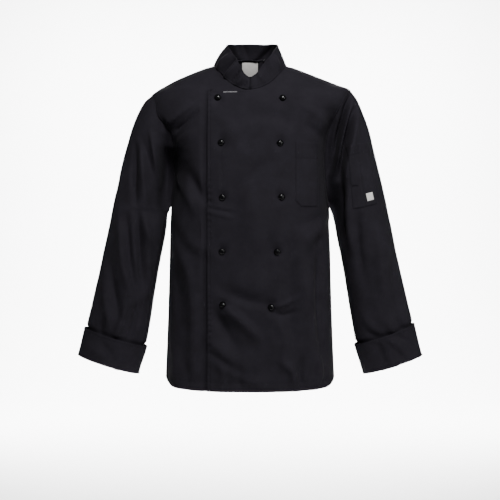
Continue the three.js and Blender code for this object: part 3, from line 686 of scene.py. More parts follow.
def make_sweep():
    """A plain pale floor that curves up behind into a wall."""
    finish = {"Roughness": 0.9, "Specular IOR Level": 0.1}
    # The paper's shade drifts slowly, some 700 mm from patch to patch
    drift = {"Scale": 1.5, "Detail": 2.0}
    material = grained_material("pale_floor", finish, "#f7f7f7", "#fbfbfb", drift)[0]
    floor_z, wall_y, bend, near, top, half = -1500, 5500, 1500, -700, 3200, 1950
    turns = np.linspace(0, math.pi / 2, 17)
    curve = [(wall_y + bend * (math.sin(a) - 1), floor_z + bend * (1 - math.cos(a))) for a in turns]
    profile = [(near, floor_z), *curve, (wall_y, top)]
    points = np.array([[(x, y, z) for x in (-half, half)] for y, z in profile], float)
    mesh = bpy.data.meshes.new("studio_sweep")
    faces = faces_of(points.shape[:2]).tolist()
    mesh.from_pydata((points.reshape(-1, 3) * MM).tolist(), [], faces)
    mesh.materials.append(material)
    mesh.polygons.foreach_set("use_smooth", [True] * len(mesh.polygons))
    link_object("studio_sweep", mesh)


place_camera()
light_studio()
make_sweep()


# Body panels

FRONT_NECK = stations((SHOULDER_TIP, -57, 1.0), (-57, 0, 2.0))
BACK_NECK = stations((0, BACK_NECK_TOP, 1.0))
BACK_TOP = np.concatenate([stations((SHOULDER_TIP, 0, 2.2))[1:], BACK_NECK[1:]])
SIDE_SHARE = np.sin(np.linspace(0, math.pi / 2, 34))
LEFT_COLUMNS = stations((-LAP, -LAP + 12, 1.0), (-LAP + 12, 0, 3.2), (0, STRAIGHT_PART, 3.2))
RIGHT_COLUMNS = stations(
    (-LAP, 0, 4.5), (0, LAP - 4, 4.5), (LAP - 4, STEP_END, 1.6), (STEP_END, STRAIGHT_PART, 3.2)
)


def panel_heights(top_rows):
    low = stations((HEM, HEM + 4, 1.0), (HEM + 4, HEM + 20, 2.0), (HEM + 20, UNDERARM, 3.4))
    armhole = ARMHOLE_MIDDLE - ARMHOLE_HALF * np.cos(np.linspace(0, math.pi, 91))
    return np.concatenate([low[:-1], armhole, top_rows])


def front_net(straight):
    """Front view places of a front's net, as distances out from the middle on its own side."""
    z = panel_heights(FRONT_NECK[1:])
    tip = int(np.argmin(np.abs(z - SHOULDER_TIP)))
    reach = panel_reach(z, "front")
    half_tip = float(torso_at["half_width"](SHOULDER_TIP))

    def lines(end):
        return np.concatenate([straight, straight[-1] + (end - straight[-1]) * SIDE_SHARE[1:]])

    x = np.stack([lines(end) for end in reach])
    share = lines(half_tip) / half_tip
    for row in range(tip + 1, len(z)):
        neck = float(neck_front_at(z[row]))
        x[row] = neck + (reach[row] - neck) * np.maximum(share, 0)
    # The lap ends at the shoulder tip's height; the last column is the turning's
    keep = np.ones((len(z) - 1, x.shape[1]), bool)
    keep[tip:, : np.count_nonzero(straight < 0)] = False
    return x, np.repeat(z[:, None], x.shape[1], axis=1), keep


# Height of the puckers that a stitched line draws in
PUCKER = 0.35


def seam_relief(z, side_distance, lap_distance=None):
    """Turnings and stitched lines along a panel's hem, side, armhole and lap."""
    height = topstitch(side_distance) * smooth_step(side_distance / 2)
    hem = z - HEM
    height += 0.5 * smooth_step((HEM_STITCH - hem) / 3) - 0.6 * ridge(hem - HEM_STITCH, 1.3)
    height += PUCKER * np.sin(side_distance / 2.4 + hem / 40) * ridge(hem - HEM_STITCH + 3, 8)
    if lap_distance is not None:
        height += topstitch(lap_distance)
        ripple = np.sin(hem / 2.3 + 1.5 * np.sin(hem / 27)) * np.sin(hem / 90) ** 2
        height += 3.2 * PUCKER * ripple * ridge(lap_distance - 5, 6)
    return height


# Small moves of the whole cloth: place, radius, and the move across and up
NUDGES = [
    (-234, -82, 42, 2.5, -5),
    (-238, -62, 16, 2.0, -3),
    (-206, -122, 34, -13, -5),
    (-204, -762, 16, 5, 9),
    (206, -762, 16, -4, 9),
    (222, -70, 50, 2.0, 4.5),
]
# How much lower the hem hangs in the middle of the front than at the sides
HEM_DIP = 5.5


def settle(points):
    """Moves every piece of the body and sleeves alike, so that the seams stay shut."""
    x, y, z = np.moveaxis(points, -1, 0)
    front = smooth_step((10 - y) / 45)
    sink = fold_height(ARM_HOLLOWS, x, z, 1) * front
    from_sides = np.clip(1 - (np.abs(x) / 205) ** 4, 0, 1)
    dip = HEM_DIP * smooth_step((-640 - z) / 110) * front * from_sides
    moved_x, moved_z = x.copy(), z - dip
    for place_x, place_z, radius, move_x, move_z in NUDGES:
        near = np.exp(-((x - place_x) ** 2 + (z - place_z) ** 2) / radius**2)
        moved_x += near * move_x
        moved_z += near * move_z
    return np.stack([moved_x, y + sink, moved_z], axis=-1)


def seam_way(edge, normals):
    """The way into the seam at each point of an edge, the same for both pieces that meet there."""
    into_hole = np.stack([0 * edge[:, 0], -edge[:, 1], ARMHOLE_MIDDLE - edge[:, 2]], axis=-1)
    at_armhole = (edge[:, 2] > UNDERARM - 1) & (edge[:, 2] < SHOULDER_TIP + 1)
    return np.where(at_armhole[:, None], unit(into_hole), -normals)


def sink_edge(points, edge, distance, flip, wrap=False):
    """Rolls a side of a net down into its seam and adds the turning below it."""
    # The cloth's way out is read two or three points in from the edge, where it is even
    normals = grid_normals(points, wrap) * flip
    if edge == "last":
        way = seam_way(points[:, -1], normals[:, -3])
        sunk = points - rolled_edge(distance)[..., None] * way[:, None]
        return np.concatenate([sunk, (sunk[:, -1] + way * TURNING)[:, None]], axis=1)
    way = seam_way(points[0], normals[3])
    sunk = points - rolled_edge(distance)[..., None] * way[None]
    return np.concatenate([(sunk[0] + way * TURNING)[None], sunk], axis=0)


STUDS = {
    "right": [(-75, -84), (-66, -190), (-63, -316), (-64, -440), (-62, -563)],
    "left": [(76, -85), (69, -191), (72, -315), (63, -441), (49, -568)],
}
# The cloth pulls in round each stud and swells beyond: distance from it, width and height
STUD_SWELLS = [(0, 11, -5.2), (19, 8, 0.8)]


def near_studs(x, z):
    total = np.zeros(np.shape(x))
    for stud_x, stud_z in STUDS["right"] + STUDS["left"]:
        away = np.hypot(x - stud_x, (z - stud_z) * 0.8)
        for distance, width, height in STUD_SWELLS:
            total += height * ridge(away - distance, width)
    return total


def room_for_folds(from_seam, z, margin):
    """Folds die away within a margin of a seam and towards the shoulder's tip."""
    return smooth_step(from_seam / margin) * smooth_step((SHOULDER_TIP + 6 - z) / 30)


def underlap_depth(reached, z):
    across = smooth_step((STEP_END - reached) / (STEP_END - LAP))
    up = smooth_step((z - SHOULDER_TIP) / STEP_HEIGHT)
    return UNDERLAP_DEPTH * across * (1 - up)


def make_front(side, straight):
    """The left front laps over the right one, whose cloth sinks beside the lap's edge."""
    x, z, keep = front_net(straight)
    reach = panel_reach(z, "front")
    points = np.stack([side * x, torso_y(x, z, "front"), z], axis=-1)
    folds = fold_height(RIGHT_FRONT_FOLDS + LEFT_FRONT_FOLDS, side * x, z)
    height = folds + rumple(side * x, points[..., 1], z) + near_studs(side * x, z)
    height *= room_for_folds(reach - x, z, 18)
    height += seam_relief(z, reach - x, x + LAP if side > 0 else None)
    if side < 0:
        below_top = 1 - smooth_step((z - SHOULDER_TIP + 20) / 14)
        beside = ridge(x - LAP - GROOVE_MIDDLE, GROOVE_WIDTH) * below_top
        height -= underlap_depth(x, z) + GROOVE_DEPTH * beside * (0.75 + 0.25 * np.sin(z / 47))
    points = settle(sink_edge(lift(points, height, flip=side), "last", reach - x, side))
    return points, faces_of(points.shape[:2], keep, flip=side < 0), x, z


left_points, left_faces, left_x, left_z = make_front(1, LEFT_COLUMNS)
right_points, right_faces, right_x, right_z = make_front(-1, RIGHT_COLUMNS)
left_front = add_cloth("left_front_cloth", left_points, left_faces, twill)
right_front = add_cloth("right_front_cloth", right_points, right_faces, twill)
left_tree = cast_tree(left_points, left_faces)


def make_back():
    z = panel_heights(BACK_TOP)
    reach = np.where(z <= 0, panel_reach(z, "back"), neck_back_at(z))[:, None]
    x = reach * np.sin(np.linspace(math.pi / 2, -math.pi / 2, 131))
    z = np.repeat(z[:, None], x.shape[1], axis=1)
    points = np.stack([x, torso_y(x, z, "back"), z], axis=-1)
    inner = reach - np.abs(x)
    height = fold_height(BACK_FOLDS, x, z) + rumple(x, points[..., 1], z)
    height = height * room_for_folds(inner, z, 34) + seam_relief(z, inner)
    points = sink_edge(lift(points, height), "last", reach + x, 1)
    left_distance = np.concatenate([reach - x, 2 * reach], axis=1)
    points = settle(sink_edge(points[:, ::-1], "last", left_distance[:, ::-1], -1)[:, ::-1])
    return points, faces_of(points.shape[:2])


back_points, back_faces = make_back()
back = add_cloth("back_cloth", back_points, back_faces, twill)


# Sleeves and cuffs

RING_ANGLES = np.linspace(0, 2 * math.pi, 132, endpoint=False)
IN_FRONT = np.sin(RING_ANGLES) >= 0
# How far the sleeve draws in under its turned-back cuff
TUCK = 5.0


def cuff_rise(side):
    """How far each cuff's top edge lies above its section, as a share of the cuff's depth."""
    level, tilt = (0.115, 0.045) if side > 0 else (0.01, 0.01)
    return level + tilt * np.cos(RING_ANGLES)


def sleeve_rings(t, side, grow=0.0):
    """Points of sleeve sections t, round from the outer edge by the front to the inner edge."""
    across, through = np.cos(RING_ANGLES), np.sin(RING_ANGLES)
    s = {name: curve(t)[:, None] for name, curve in sleeve_at.items()}
    # The right sleeve is a little fuller below the underarm, on its inner side
    if side < 0:
        s["in_x"] = s["in_x"] - 5 * smooth_step((t[:, None] - 4) / 3)
    half_x, half_z = (s["out_x"] - s["in_x"]) / 2, (s["out_z"] - s["in_z"]) / 2
    spread = 1 + grow / np.hypot(half_x, half_z)
    depth = np.where(IN_FRONT, s["front"], s["back"]) + grow
    x = (s["out_x"] + s["in_x"]) / 2 + half_x * spread * across
    z = (s["out_z"] + s["in_z"]) / 2 + half_z * spread * across
    y = s["shift"] - depth * through
    # The first ring is moved onto the edge of the armhole, and those after it less and less
    start_x = SLEEVE_START_X["middle"] + SLEEVE_START_X["half"] * across
    start_z = ARMHOLE_MIDDLE + ARMHOLE_HALF * across
    start_y = -np.where(IN_FRONT, ARMHOLE_DEPTH["front"], ARMHOLE_DEPTH["back"]) * through
    hole_x = np.where(IN_FRONT, panel_reach(start_z, "front"), panel_reach(start_z, "back"))
    hole_y = np.where(
        IN_FRONT, torso_y(hole_x, start_z, "front"), torso_y(hole_x, start_z, "back")
    )
    x = x + s["armhole"] * (hole_x - start_x)
    y = y + s["armhole"] * (hole_y - start_y)
    return np.stack([side * x, y, z], axis=-1)


def make_sleeve(side, front_folds, back_folds):
    cuff = CUFF_TOP_SECTION
    t = stations((0, 0.6, 0.02), (0.6, cuff, 0.072), (cuff, CUFF_END_SECTION, 0.12))
    points = sleeve_rings(t, side)
    through = np.sin(RING_ANGLES)
    x, y, z = np.moveaxis(points, -1, 0)
    front = fold_height(front_folds, x, z) * (through > 0)
    rear = fold_height(back_folds, x, z) * (through < 0)
    ends = smooth_step(t / 0.22) * smooth_step((cuff + 0.1 - t) / 0.35)
    height = (front + rear) * np.abs(through) ** 0.6 * ends[:, None]
    height += rumple(x, y, z) * smooth_step(t / 0.5)[:, None]
    height -= TUCK * smooth_step((t[:, None] - cuff + 0.16 + cuff_rise(side)) / 0.16)
    from_seam = np.linalg.norm(points - points[0], axis=-1)
    points = lift(points, height, wrap=True, flip=side)
    points = settle(sink_edge(points, "first", from_seam, side, wrap=True))
    return points, faces_of(points.shape[:2], wrap=True, flip=side < 0)


left_sleeve_net = make_sleeve(1, LEFT_SLEEVE_FRONT, LEFT_SLEEVE_BACK)
left_sleeve = add_cloth("left_sleeve_cloth", *left_sleeve_net, twill)
right_sleeve_net = make_sleeve(-1, RIGHT_SLEEVE_FRONT, RIGHT_SLEEVE_BACK)
right_sleeve = add_cloth("right_sleeve_cloth", *right_sleeve_net, twill)

# The roll at a cuff's end, and how far the cloth goes on inside
CUFF_ROLL = 2.4
CUFF_INSIDE = (4, 9, 15)


def make_cuff(side):
    """A turned-back cuff: a band that stands off the sleeve and rolls in round its end."""
    top, end = CUFF_TOP_SECTION, CUFF_END_SECTION
    band = stations((top, end, 0.045))
    # It stands further off the sleeve at its loose edge than at the fold
    grow = 4.4 - 2.2 * smooth_step((band - top) * 1.2)
    rings = [sleeve_rings(np.array([t]), side, g)[0] for t, g in zip(band, grow)]
    mm_per_section = np.linalg.norm(rings[-1].mean(0) - rings[0].mean(0)) / (end - top)
    turns = np.linspace(0, math.pi, 9)[1:]
    past = [(CUFF_ROLL * math.sin(a), CUFF_ROLL * math.cos(a) - CUFF_ROLL) for a in turns]
    past += [(-inside, -2 * CUFF_ROLL) for inside in CUFF_INSIDE]
    for beyond, inward in past:
        section = np.array([end + beyond / mm_per_section])
        rings.append(sleeve_rings(section, side, grow[-1] + inward)[0])
    points = np.array(rings)
    x, y, z = np.moveaxis(points, -1, 0)
    from_top = np.linalg.norm(points - points[0], axis=-1)
    height = 0.7 * rumple(x * 1.3, y, z * 1.2) + topstitch(from_top, EDGE_ROW)
    height += fold_height(CUFF_FOLDS, x, z) * (y < -10) * smooth_step(from_top / 14)
    height[len(band) :] *= 0.3
    height[-len(CUFF_INSIDE) :] = 0
    points = lift(points, height, wrap=True, flip=side)
    upward = points[0].mean(0) - points[len(band) - 1].mean(0)
    above = (1 - np.linspace(0, 1, len(band)))[:, None] * cuff_rise(side)
    points[: len(band)] += above[..., None] * upward
    return points, faces_of(points.shape[:2], wrap=True, flip=side < 0)


left_cuff_net = make_cuff(1)
left_cuff = add_cloth("left_cuff_cloth", *left_cuff_net, twill)
right_cuff_net = make_cuff(-1)
right_cuff = add_cloth("right_cuff_cloth", *right_cuff_net, twill)


# Collar

# Rows of the collar's net, as shares of its height, closer where it is stitched
COLLAR_ROWS = np.concatenate(
    [[0, 0.02, 0.05, 0.09], np.linspace(0.14, 0.9, 18), [0.94, 0.97, 0.99, 1.0]]
)
# How far the collar's top leans to the wearer's left at its sides
COLLAR_SET = 6.0


def neck_edge():
    """Points along the neck edge from the centre front round the wearer's left side."""
    reach = neck_front_at(FRONT_NECK)
    # The two ends start either side of the middle, with a slit between them
    reach[0] = 1.0
    left = np.stack([reach, torso_y(reach, FRONT_NECK, "front"), FRONT_NECK], axis=-1)
    right = left * (-1, 1, 1)
    right[:, 1] += underlap_depth(reach, FRONT_NECK)
    rise = BACK_NECK[1:]
    left_back = np.stack([neck_back_at(rise), torso_y(neck_back_at(rise), rise, "back"), rise], axis=-1)
    middle_x = np.linspace(BACK_NECK_HALF, -BACK_NECK_HALF, 25)[1:-1]
    level = np.full(len(middle_x), float(BACK_NECK_TOP))
    middle = np.stack([middle_x, torso_y(middle_x, level, "back"), level], axis=-1)
    return np.concatenate([left, left_back, middle, (left_back * (-1, 1, 1))[::-1], right[::-1]])


def collar_top(base):
    """The collar's top edge, on a ring smaller than the neck edge; its ends all but meet."""
    ring = COLLAR_RING
    front = base[:, 1] < ring["middle_y"]
    deep = np.where(front, torso_at["front"](SHOULDER_TIP), torso_at["back"](0))
    beside = np.abs(base[:, 0]) / NECK_BACK["reach"][0]
    turn = np.arctan2(beside, (ring["middle_y"] - base[:, 1]) / deep)
    x = np.sign(base[:, 0]) * ring["half_width"] * np.sin(turn)
    x = np.where(np.abs(base[:, 0]) < 1.5, 0.35 * base[:, 0], x)
    y = ring["middle_y"] - np.where(front, ring["front"], ring["back"]) * np.cos(turn)
    return np.stack([x, y, collar_height_at(np.degrees(turn))], axis=-1)


def make_collar():
    base = neck_edge()
    top = collar_top(base)
    share = COLLAR_ROWS[:, None]
    points = base[None] + (top - base)[None] * share[..., None]
    length = np.linalg.norm(top - base, axis=-1)
    up, down = (1 - share) * length, share * length
    step = np.linalg.norm(np.diff(base, axis=0), axis=-1)
    along = np.concatenate([[0], np.cumsum(step)])
    to_end = np.minimum(along, along[-1] - along)[None]
    x, y, z = np.moveaxis(points, -1, 0)
    height = 1.8 * np.sin(np.pi * share) + 0.5 * rumple(x * 1.4, y, z * 1.4)
    height += fold_height(COLLAR_FOLDS, x, z, COLLAR_GAIN) * (y < 10)
    height += fold_height(COLLAR_BACK_FOLDS, x, z) * (y > 20)
    height += rolled_edge(down) + sum(topstitch(edge, EDGE_ROW) for edge in (up, down, to_end))
    # The two ends sink where they meet, most of all at their foot
    height -= 2.6 * ridge(to_end, 2.0) + 7.0 * ridge(to_end, 3.5) * ridge(down, 4.0)
    points = lift(points, height)
    points[..., 0] += COLLAR_SET * share**2 * smooth_step(np.abs(base[:, 0]) / 70)
    under = points[0] - grid_normals(points)[4] * TURNING
    points = np.concatenate([under[None], points])
    return points, faces_of(points.shape[:2])


collar_points, collar_faces = make_collar()
collar = add_cloth("collar_cloth", collar_points, collar_faces, twill, 1.8)


# Pieces that lie on the cloth

CHEST_POCKET = {"left": 104, "right": STRAIGHT_PART, "top": -188, "bottom": -338, "corner": 14}
SLEEVE_POCKET_TOP = [(227, -197), (250, -190), (280, -186)]
SLEEVE_POCKET_BOTTOM = [(240, -344), (270, -338), (299, -331)]
SLEEVE_TAG_TOP = [(270.5, -307), (286, -303)]
SLEEVE_TAG_BOTTOM = [(274.5, -325), (290, -320.5)]
NECK_LABEL = {"left": -19.6, "right": 19.6, "top": 15, "bottom": -17}
# Gaps between a laid piece and the cloth under it
POCKET_GAP = 0.35
TAG_GAP = 0.45
LABEL_GAP = 0.5
# Stitched lines of the pockets: in from the edge, below the mouth, and beside the pens' division
POCKET_ROW = 2.2
CHEST_HEM = 37.5
SLEEVE_HEM = 23
SLEEVE_POCKET_LENGTH = 148
PEN_ROWS = (8.5, 16)


def between(top, bottom, columns_across, rows_down):
    """A net of places in front view between two edges, each a line of points."""
    across = np.linspace(0, 1, columns_across)

    def edge(points):
        points = np.array(points, float)
        at = np.linspace(0, 1, len(points))
        return np.stack([np.interp(across, at, points[:, k]) for k in range(2)], axis=-1)

    upper, lower = edge(top), edge(bottom)
    return upper + (lower - upper) * np.linspace(0, 1, rows_down)[:, None, None]


def upright(patch, columns_across, rows_down):
    edges = [[(patch["left"], patch[end]), (patch["right"], patch[end])] for end in ("top", "bottom")]
    return between(*edges, columns_across, rows_down)


def edge_distance(places):
    """Distances in millimetres of a net's points from its sides, bottom and top."""
    width = np.linalg.norm(places[:, -1] - places[:, 0], axis=-1)[:, None]
    tall = np.linalg.norm(places[-1] - places[0], axis=-1)[None]
    across = np.linspace(0, 1, places.shape[1])[None]
    down = np.linspace(0, 1, places.shape[0])[:, None]
    return np.minimum(across, 1 - across) * width, (1 - down) * tall, down * tall

def lay_on(tree, places, gap, height, from_y=-600):
    """A net of points over a cloth, at a gap, with the small bumps below it evened out."""
    surface, normals = on_cloth(tree, places[..., 0], places[..., 1], from_y)
    soft = normals.copy()
    for _ in range(4):
        soft[1:-1, 1:-1] = (soft[:-2, 1:-1] + soft[2:, 1:-1] + soft[1:-1, :-2] + soft[1:-1, 2:]) / 4
    points = surface + unit(soft) * (gap + height)[..., None]
    return points, faces_of(points.shape[:2], flip=True)


def pocket_height(places):
    """Height of a sewn-on pocket, which gapes a little at its mouth."""
    sides, bottom, top = edge_distance(places)
    attached = np.minimum(sides, bottom)
    height = 1.1 * smooth_step(attached / 2.0) - 0.5 * ridge(attached - POCKET_ROW, 0.9)
    height += 0.5 * smooth_step(sides / 14)
    return height + 1.4 * smooth_step(sides / 12) * smooth_step((16 - top) / 16)


def make_chest_pocket():
    pocket = CHEST_POCKET
    places = upright(pocket, 40, 84)
    cut = np.clip(pocket["bottom"] + pocket["corner"] - places[..., 1], 0, None)
    places[..., 0] += cut * (1 - np.linspace(0, 1, 40))
    top = pocket["top"] - places[..., 1]
    height = pocket_height(places)
    height += 0.35 * smooth_step((36 - top) / 2) - 0.4 * ridge(top - CHEST_HEM, 1.1)
    for row in PEN_ROWS:
        division = ridge(places[..., 0] - pocket["left"] - row, 1.1)
        height -= 0.6 * division * smooth_step((40 - top) / 3)
    return lay_on(left_tree, places, POCKET_GAP, height)


def make_sleeve_pocket():
    places = between(SLEEVE_POCKET_TOP, SLEEVE_POCKET_BOTTOM, 40, 90)
    from_middle = (np.linspace(0, 1, 40) - 0.5) * 58
    _, _, top = edge_distance(places)
    height = pocket_height(places) - 0.7 * ridge(from_middle, 1.3)
    height += 0.3 * smooth_step((22 - top) / 2) - 0.4 * ridge(top - SLEEVE_HEM, 1.1)
    return lay_on(cast_tree(*left_sleeve_net), places, POCKET_GAP, height)


def make_tag():
    places = between(SLEEVE_TAG_TOP, SLEEVE_TAG_BOTTOM, 18, 18)
    inset = np.minimum.reduce(edge_distance(places))
    height = 0.5 * smooth_step(inset / 1.2) - 0.3 * ridge(inset - 1.6, 0.6)
    return lay_on(sleeve_pocket_tree, places, TAG_GAP, height)


def make_neck_label():
    """A tape sewn along its top edge, inside the back; the rest hangs a little free."""
    places = upright(NECK_LABEL, 30, 34)
    sides, _, top = edge_distance(places)
    height = 0.5 * smooth_step(np.minimum(sides, top) / 1.5) - 0.35 * ridge(top - 2.5, 0.8)
    height += 1.2 * smooth_step(top / 30) * smooth_step(sides / 9)
    return lay_on(cast_tree(back_points, back_faces), places, LABEL_GAP + CLOTH, height, from_y=0)


chest_pocket_net = make_chest_pocket()
chest_pocket = add_cloth("chest_pocket_cloth", *chest_pocket_net, twill, 0.9, 0.35)
sleeve_pocket_net = make_sleeve_pocket()
sleeve_pocket = add_cloth("sleeve_pocket_cloth", *sleeve_pocket_net, twill, 0.9, 0.35)
chest_pocket_tree = cast_tree(*chest_pocket_net)
sleeve_pocket_tree = cast_tree(*sleeve_pocket_net)
sleeve_tag = add_cloth("sleeve_tag_tape", *make_tag(), satin, 0.45, 0.18)
neck_label = add_cloth("neck_label_tape", *make_neck_label(), satin, 0.45, 0.18)


# Studs

# Radius and height of a stud's outline, from the shank's foot to the crown
STUD_PROFILE = [
    (0.0, -1.2),
    (3.2, -1.2),
    (3.2, 0.3),
    (6.2, 0.5),
    (7.1, 1.1),
    (7.5, 2.2),
    (7.45, 3.3),
    (7.0, 4.5),
    (6.0, 5.6),
    (4.6, 6.5),
    (3.1, 7.0),
    (1.5, 7.3),
    (0.0, 7.36),
]
STUD_SIDES = 40
STUD_SEAT = 0.5


def make_stud(name, x, z):
    """A turned head on its shank, square to the cloth, with a moulded lip round its foot."""
    place, normal = on_cloth(left_tree, np.array([x]), np.array([z]))
    spin = Vector((0, 0, 1)).rotation_difference(Vector(normal[0])).to_matrix()
    turns = np.linspace(0, 2 * math.pi, STUD_SIDES, endpoint=False)
    rings = [(r * np.cos(turns), r * np.sin(turns), h + 0 * turns) for r, h in STUD_PROFILE[1:-1]]
    net = np.stack([np.stack(ring, axis=-1) for ring in rings])
    poles = [(0, 0, STUD_PROFILE[end][1]) for end in (0, -1)]
    points = np.concatenate([net.reshape(-1, 3), poles])
    faces = faces_of(net.shape[:2], wrap=True).tolist()
    low, high, last = len(points) - 2, len(points) - 1, (len(rings) - 1) * STUD_SIDES
    for i in range(STUD_SIDES):
        j = (i + 1) % STUD_SIDES
        faces.append([low, j, i])
        faces.append([high, last + i, last + j])
    points = points @ np.array(spin).T + place[0] + normal[0] * STUD_SEAT
    return add_mesh(name, points, faces, nylon)


for side, places in STUDS.items():
    for number, place in enumerate(places, 1):
        head = make_stud(f"stud_{side}_{number}_head", *place)
        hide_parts(f"stud_{side}_{number}")


# Sewing: each stitch is a short raised loop of thread

STITCH = 2.9
THREAD_RADIUS = 0.24
THREAD_SIDES = 6
# A stitch from end to end: place along it, height above the cloth and share of the thread's radius
STITCH_ARCH = [(-1, -0.28, 0.35), (-0.6, 0.12, 1), (0, 0.22, 1.05), (0.6, 0.12, 1), (1, -0.28, 0.35)]


def net_at(net, rows, cols):
    """Points at fractional rows and columns of a net."""
    r0 = np.clip(np.floor(rows).astype(int), 0, net.shape[0] - 2)
    c0 = np.clip(np.floor(cols).astype(int), 0, net.shape[1] - 2)
    r, c = (rows - r0)[:, None], (cols - c0)[:, None]
    near = net[r0, c0] * (1 - c) + net[r0, c0 + 1] * c
    far = net[r0 + 1, c0] * (1 - c) + net[r0 + 1, c0 + 1] * c
    return near * (1 - r) + far * r


def stitch_loops(line, normals, pitch=STITCH, radius=THREAD_RADIUS, fill=0.82):
    """Thread loops along a line on a cloth, as points and faces."""
    length = np.concatenate([[0], np.cumsum(np.linalg.norm(np.diff(line, axis=0), axis=-1))])
    at = np.arange(pitch * 0.5, length[-1], pitch)

    def sample(values, where):
        return np.stack([np.interp(where, length, values[:, k]) for k in range(3)], axis=-1)

    out = unit(sample(normals, at))
    ahead = unit(sample(line, at + 0.5) - sample(line, at - 0.5))
    side_way = unit(np.cross(ahead, out))
    rings = []
    for along, rise, size in STITCH_ARCH:
        centre = sample(line, at + along * pitch * fill / 2) + out * rise
        for k in range(THREAD_SIDES):
            turn = k * 2 * math.pi / THREAD_SIDES
            around = side_way * math.cos(turn) + out * math.sin(turn)
            rings.append(centre + around * radius * size)
    points = np.stack(rings, axis=1)
    tube = faces_of((len(STITCH_ARCH), THREAD_SIDES), wrap=True).tolist()
    last = (len(STITCH_ARCH) - 1) * THREAD_SIDES
    tube.append(list(range(THREAD_SIDES))[::-1])
    tube.append(list(range(last, last + THREAD_SIDES)))
    faces = [[s * points.shape[1] + k for k in face] for s in range(len(at)) for face in tube]
    return points.reshape(-1, 3), faces


def sew(name, lines, material, **settings):
    """One object of thread for all the lines of sewing on a piece."""
    all_points, all_faces, start = [], [], 0
    for line, normals in lines:
        points, faces = stitch_loops(line, normals, **settings)
        all_points.append(points)
        all_faces += [[k + start for k in face] for face in faces]
        start += len(points)
    return add_mesh(name, np.concatenate(all_points), all_faces, material)


def thread_line(net, rows, cols, flip=1, wrap=False):
    """Places and outward normals along fractional rows and columns of a net."""
    rows, cols = np.broadcast_arrays(np.asarray(rows, float), np.asarray(cols, float))
    normals = grid_normals(net, wrap) * flip
    if wrap:
        net, normals = (np.concatenate([a, a[:, :1]], axis=1) for a in (net, normals))
    return net_at(net, rows, cols), net_at(normals, rows, cols)


def surface_line(tree, start, end, count=80):
    """Places and outward normals along a straight line in front view, on a cloth."""
    return on_cloth(tree, np.linspace(start[0], end[0], count), np.linspace(start[1], end[1], count))


def columns_at(distances, wanted):
    """For each row, the fractional column where a distance that falls along the row reaches a value."""
    found = []
    for row in distances:
        order = np.argsort(row)
        found.append(np.interp(wanted, row[order], np.arange(len(row))[order].astype(float)))
    return np.array(found)


def front_sewing(net, x, z, side):
    """Stitched lines along a front's armhole, side, shoulder and hem, and the lap's two edges."""
    heights = z[:, 0]
    side_cols = columns_at(panel_reach(heights, "front")[:, None] - x, SEAM_ROW)
    armhole = (heights >= UNDERARM + 4) & (heights <= SHOULDER_TIP)
    lines = []
    for seam in (armhole, heights <= UNDERARM - 6, heights > SHOULDER_TIP):
        rows = np.flatnonzero(seam)
        lines.append(thread_line(net, rows, side_cols[rows], side))
    hem_row = np.interp(HEM + HEM_STITCH, heights, np.arange(len(z)))
    lines.append(thread_line(net, hem_row, np.arange(2, x.shape[1] - 3, 0.5), side))
    if side > 0:
        lap_col = np.interp(SEAM_ROW - LAP, x[0], np.arange(x.shape[1]))
        rows = np.flatnonzero((heights >= HEM + 4) & (heights <= SHOULDER_TIP))
        lines.append(thread_line(net, rows, lap_col, side))
        top_row = np.interp(SHOULDER_TIP - EDGE_ROW, heights, np.arange(len(z)))
        lines.append(thread_line(net, top_row, np.arange(lap_col, 40, 0.5), side))
    return lines


def back_sewing(net):
    """Stitched lines along the back's hem, sides and armholes; the net has a turning at either side."""
    z = panel_heights(BACK_TOP)
    hem_row = np.interp(HEM + HEM_STITCH, z, np.arange(len(z)))
    lines = [thread_line(net, hem_row, np.arange(3, net.shape[1] - 4, 0.5))]
    rows = np.flatnonzero((z >= HEM + 4) & (z <= SHOULDER_TIP))
    for edge, way in ((1, 1), (net.shape[1] - 2, -1)):
        from_edge = np.linalg.norm(net - net[:, edge : edge + 1], axis=-1)
        inside = from_edge[:, edge : edge + 30 * way : way]
        cols = np.array([np.interp(SEAM_ROW, row, np.arange(len(row))) for row in inside])
        lines.append(thread_line(net, rows, edge + way * cols[rows]))
    return lines


def collar_sewing(net):
    """Lines a stitched row's distance in from all four edges of the collar, past its turning."""
    rows, cols = net.shape[:2]
    along = np.arange(3.0, cols - 3.5, 0.5)
    lines = [thread_line(net, row, along) for row in (rows - 5.2, 4.6)]
    return lines + [
        thread_line(net, np.arange(4.6, rows - 5.0, 0.5), col) for col in (4.5, cols - 5.5)
    ]


def chest_pocket_sewing():
    row = POCKET_ROW
    left, right, top, bottom, corner = CHEST_POCKET.values()
    outline = [
        (left + row, top - 1),
        (left + row, bottom + corner + 1),
        (left + corner + 1, bottom + row),
        (right - row, bottom + row),
        (right - row, top - 1),
    ]
    ends = list(zip(outline[:-1], outline[1:]))
    ends.append(((left + 1, top - CHEST_HEM), (right - 1, top - CHEST_HEM)))
    ends += [((left + pens, top - 1), (left + pens, top - 36)) for pens in PEN_ROWS]
    return [surface_line(chest_pocket_tree, *pair) for pair in ends]


def sleeve_pocket_sewing(net):
    rows, cols = net.shape[0] - 1, net.shape[1] - 1
    down, across = np.arange(0.5, rows - 0.5, 0.5), np.arange(1, cols - 0.5, 0.5)
    lines = [thread_line(net, down, col, -1) for col in (1.5, cols / 2, cols - 1.5)]
    hem_row = rows * SLEEVE_HEM / SLEEVE_POCKET_LENGTH
    return lines + [thread_line(net, row, across, -1) for row in (hem_row, rows - 1.3)]


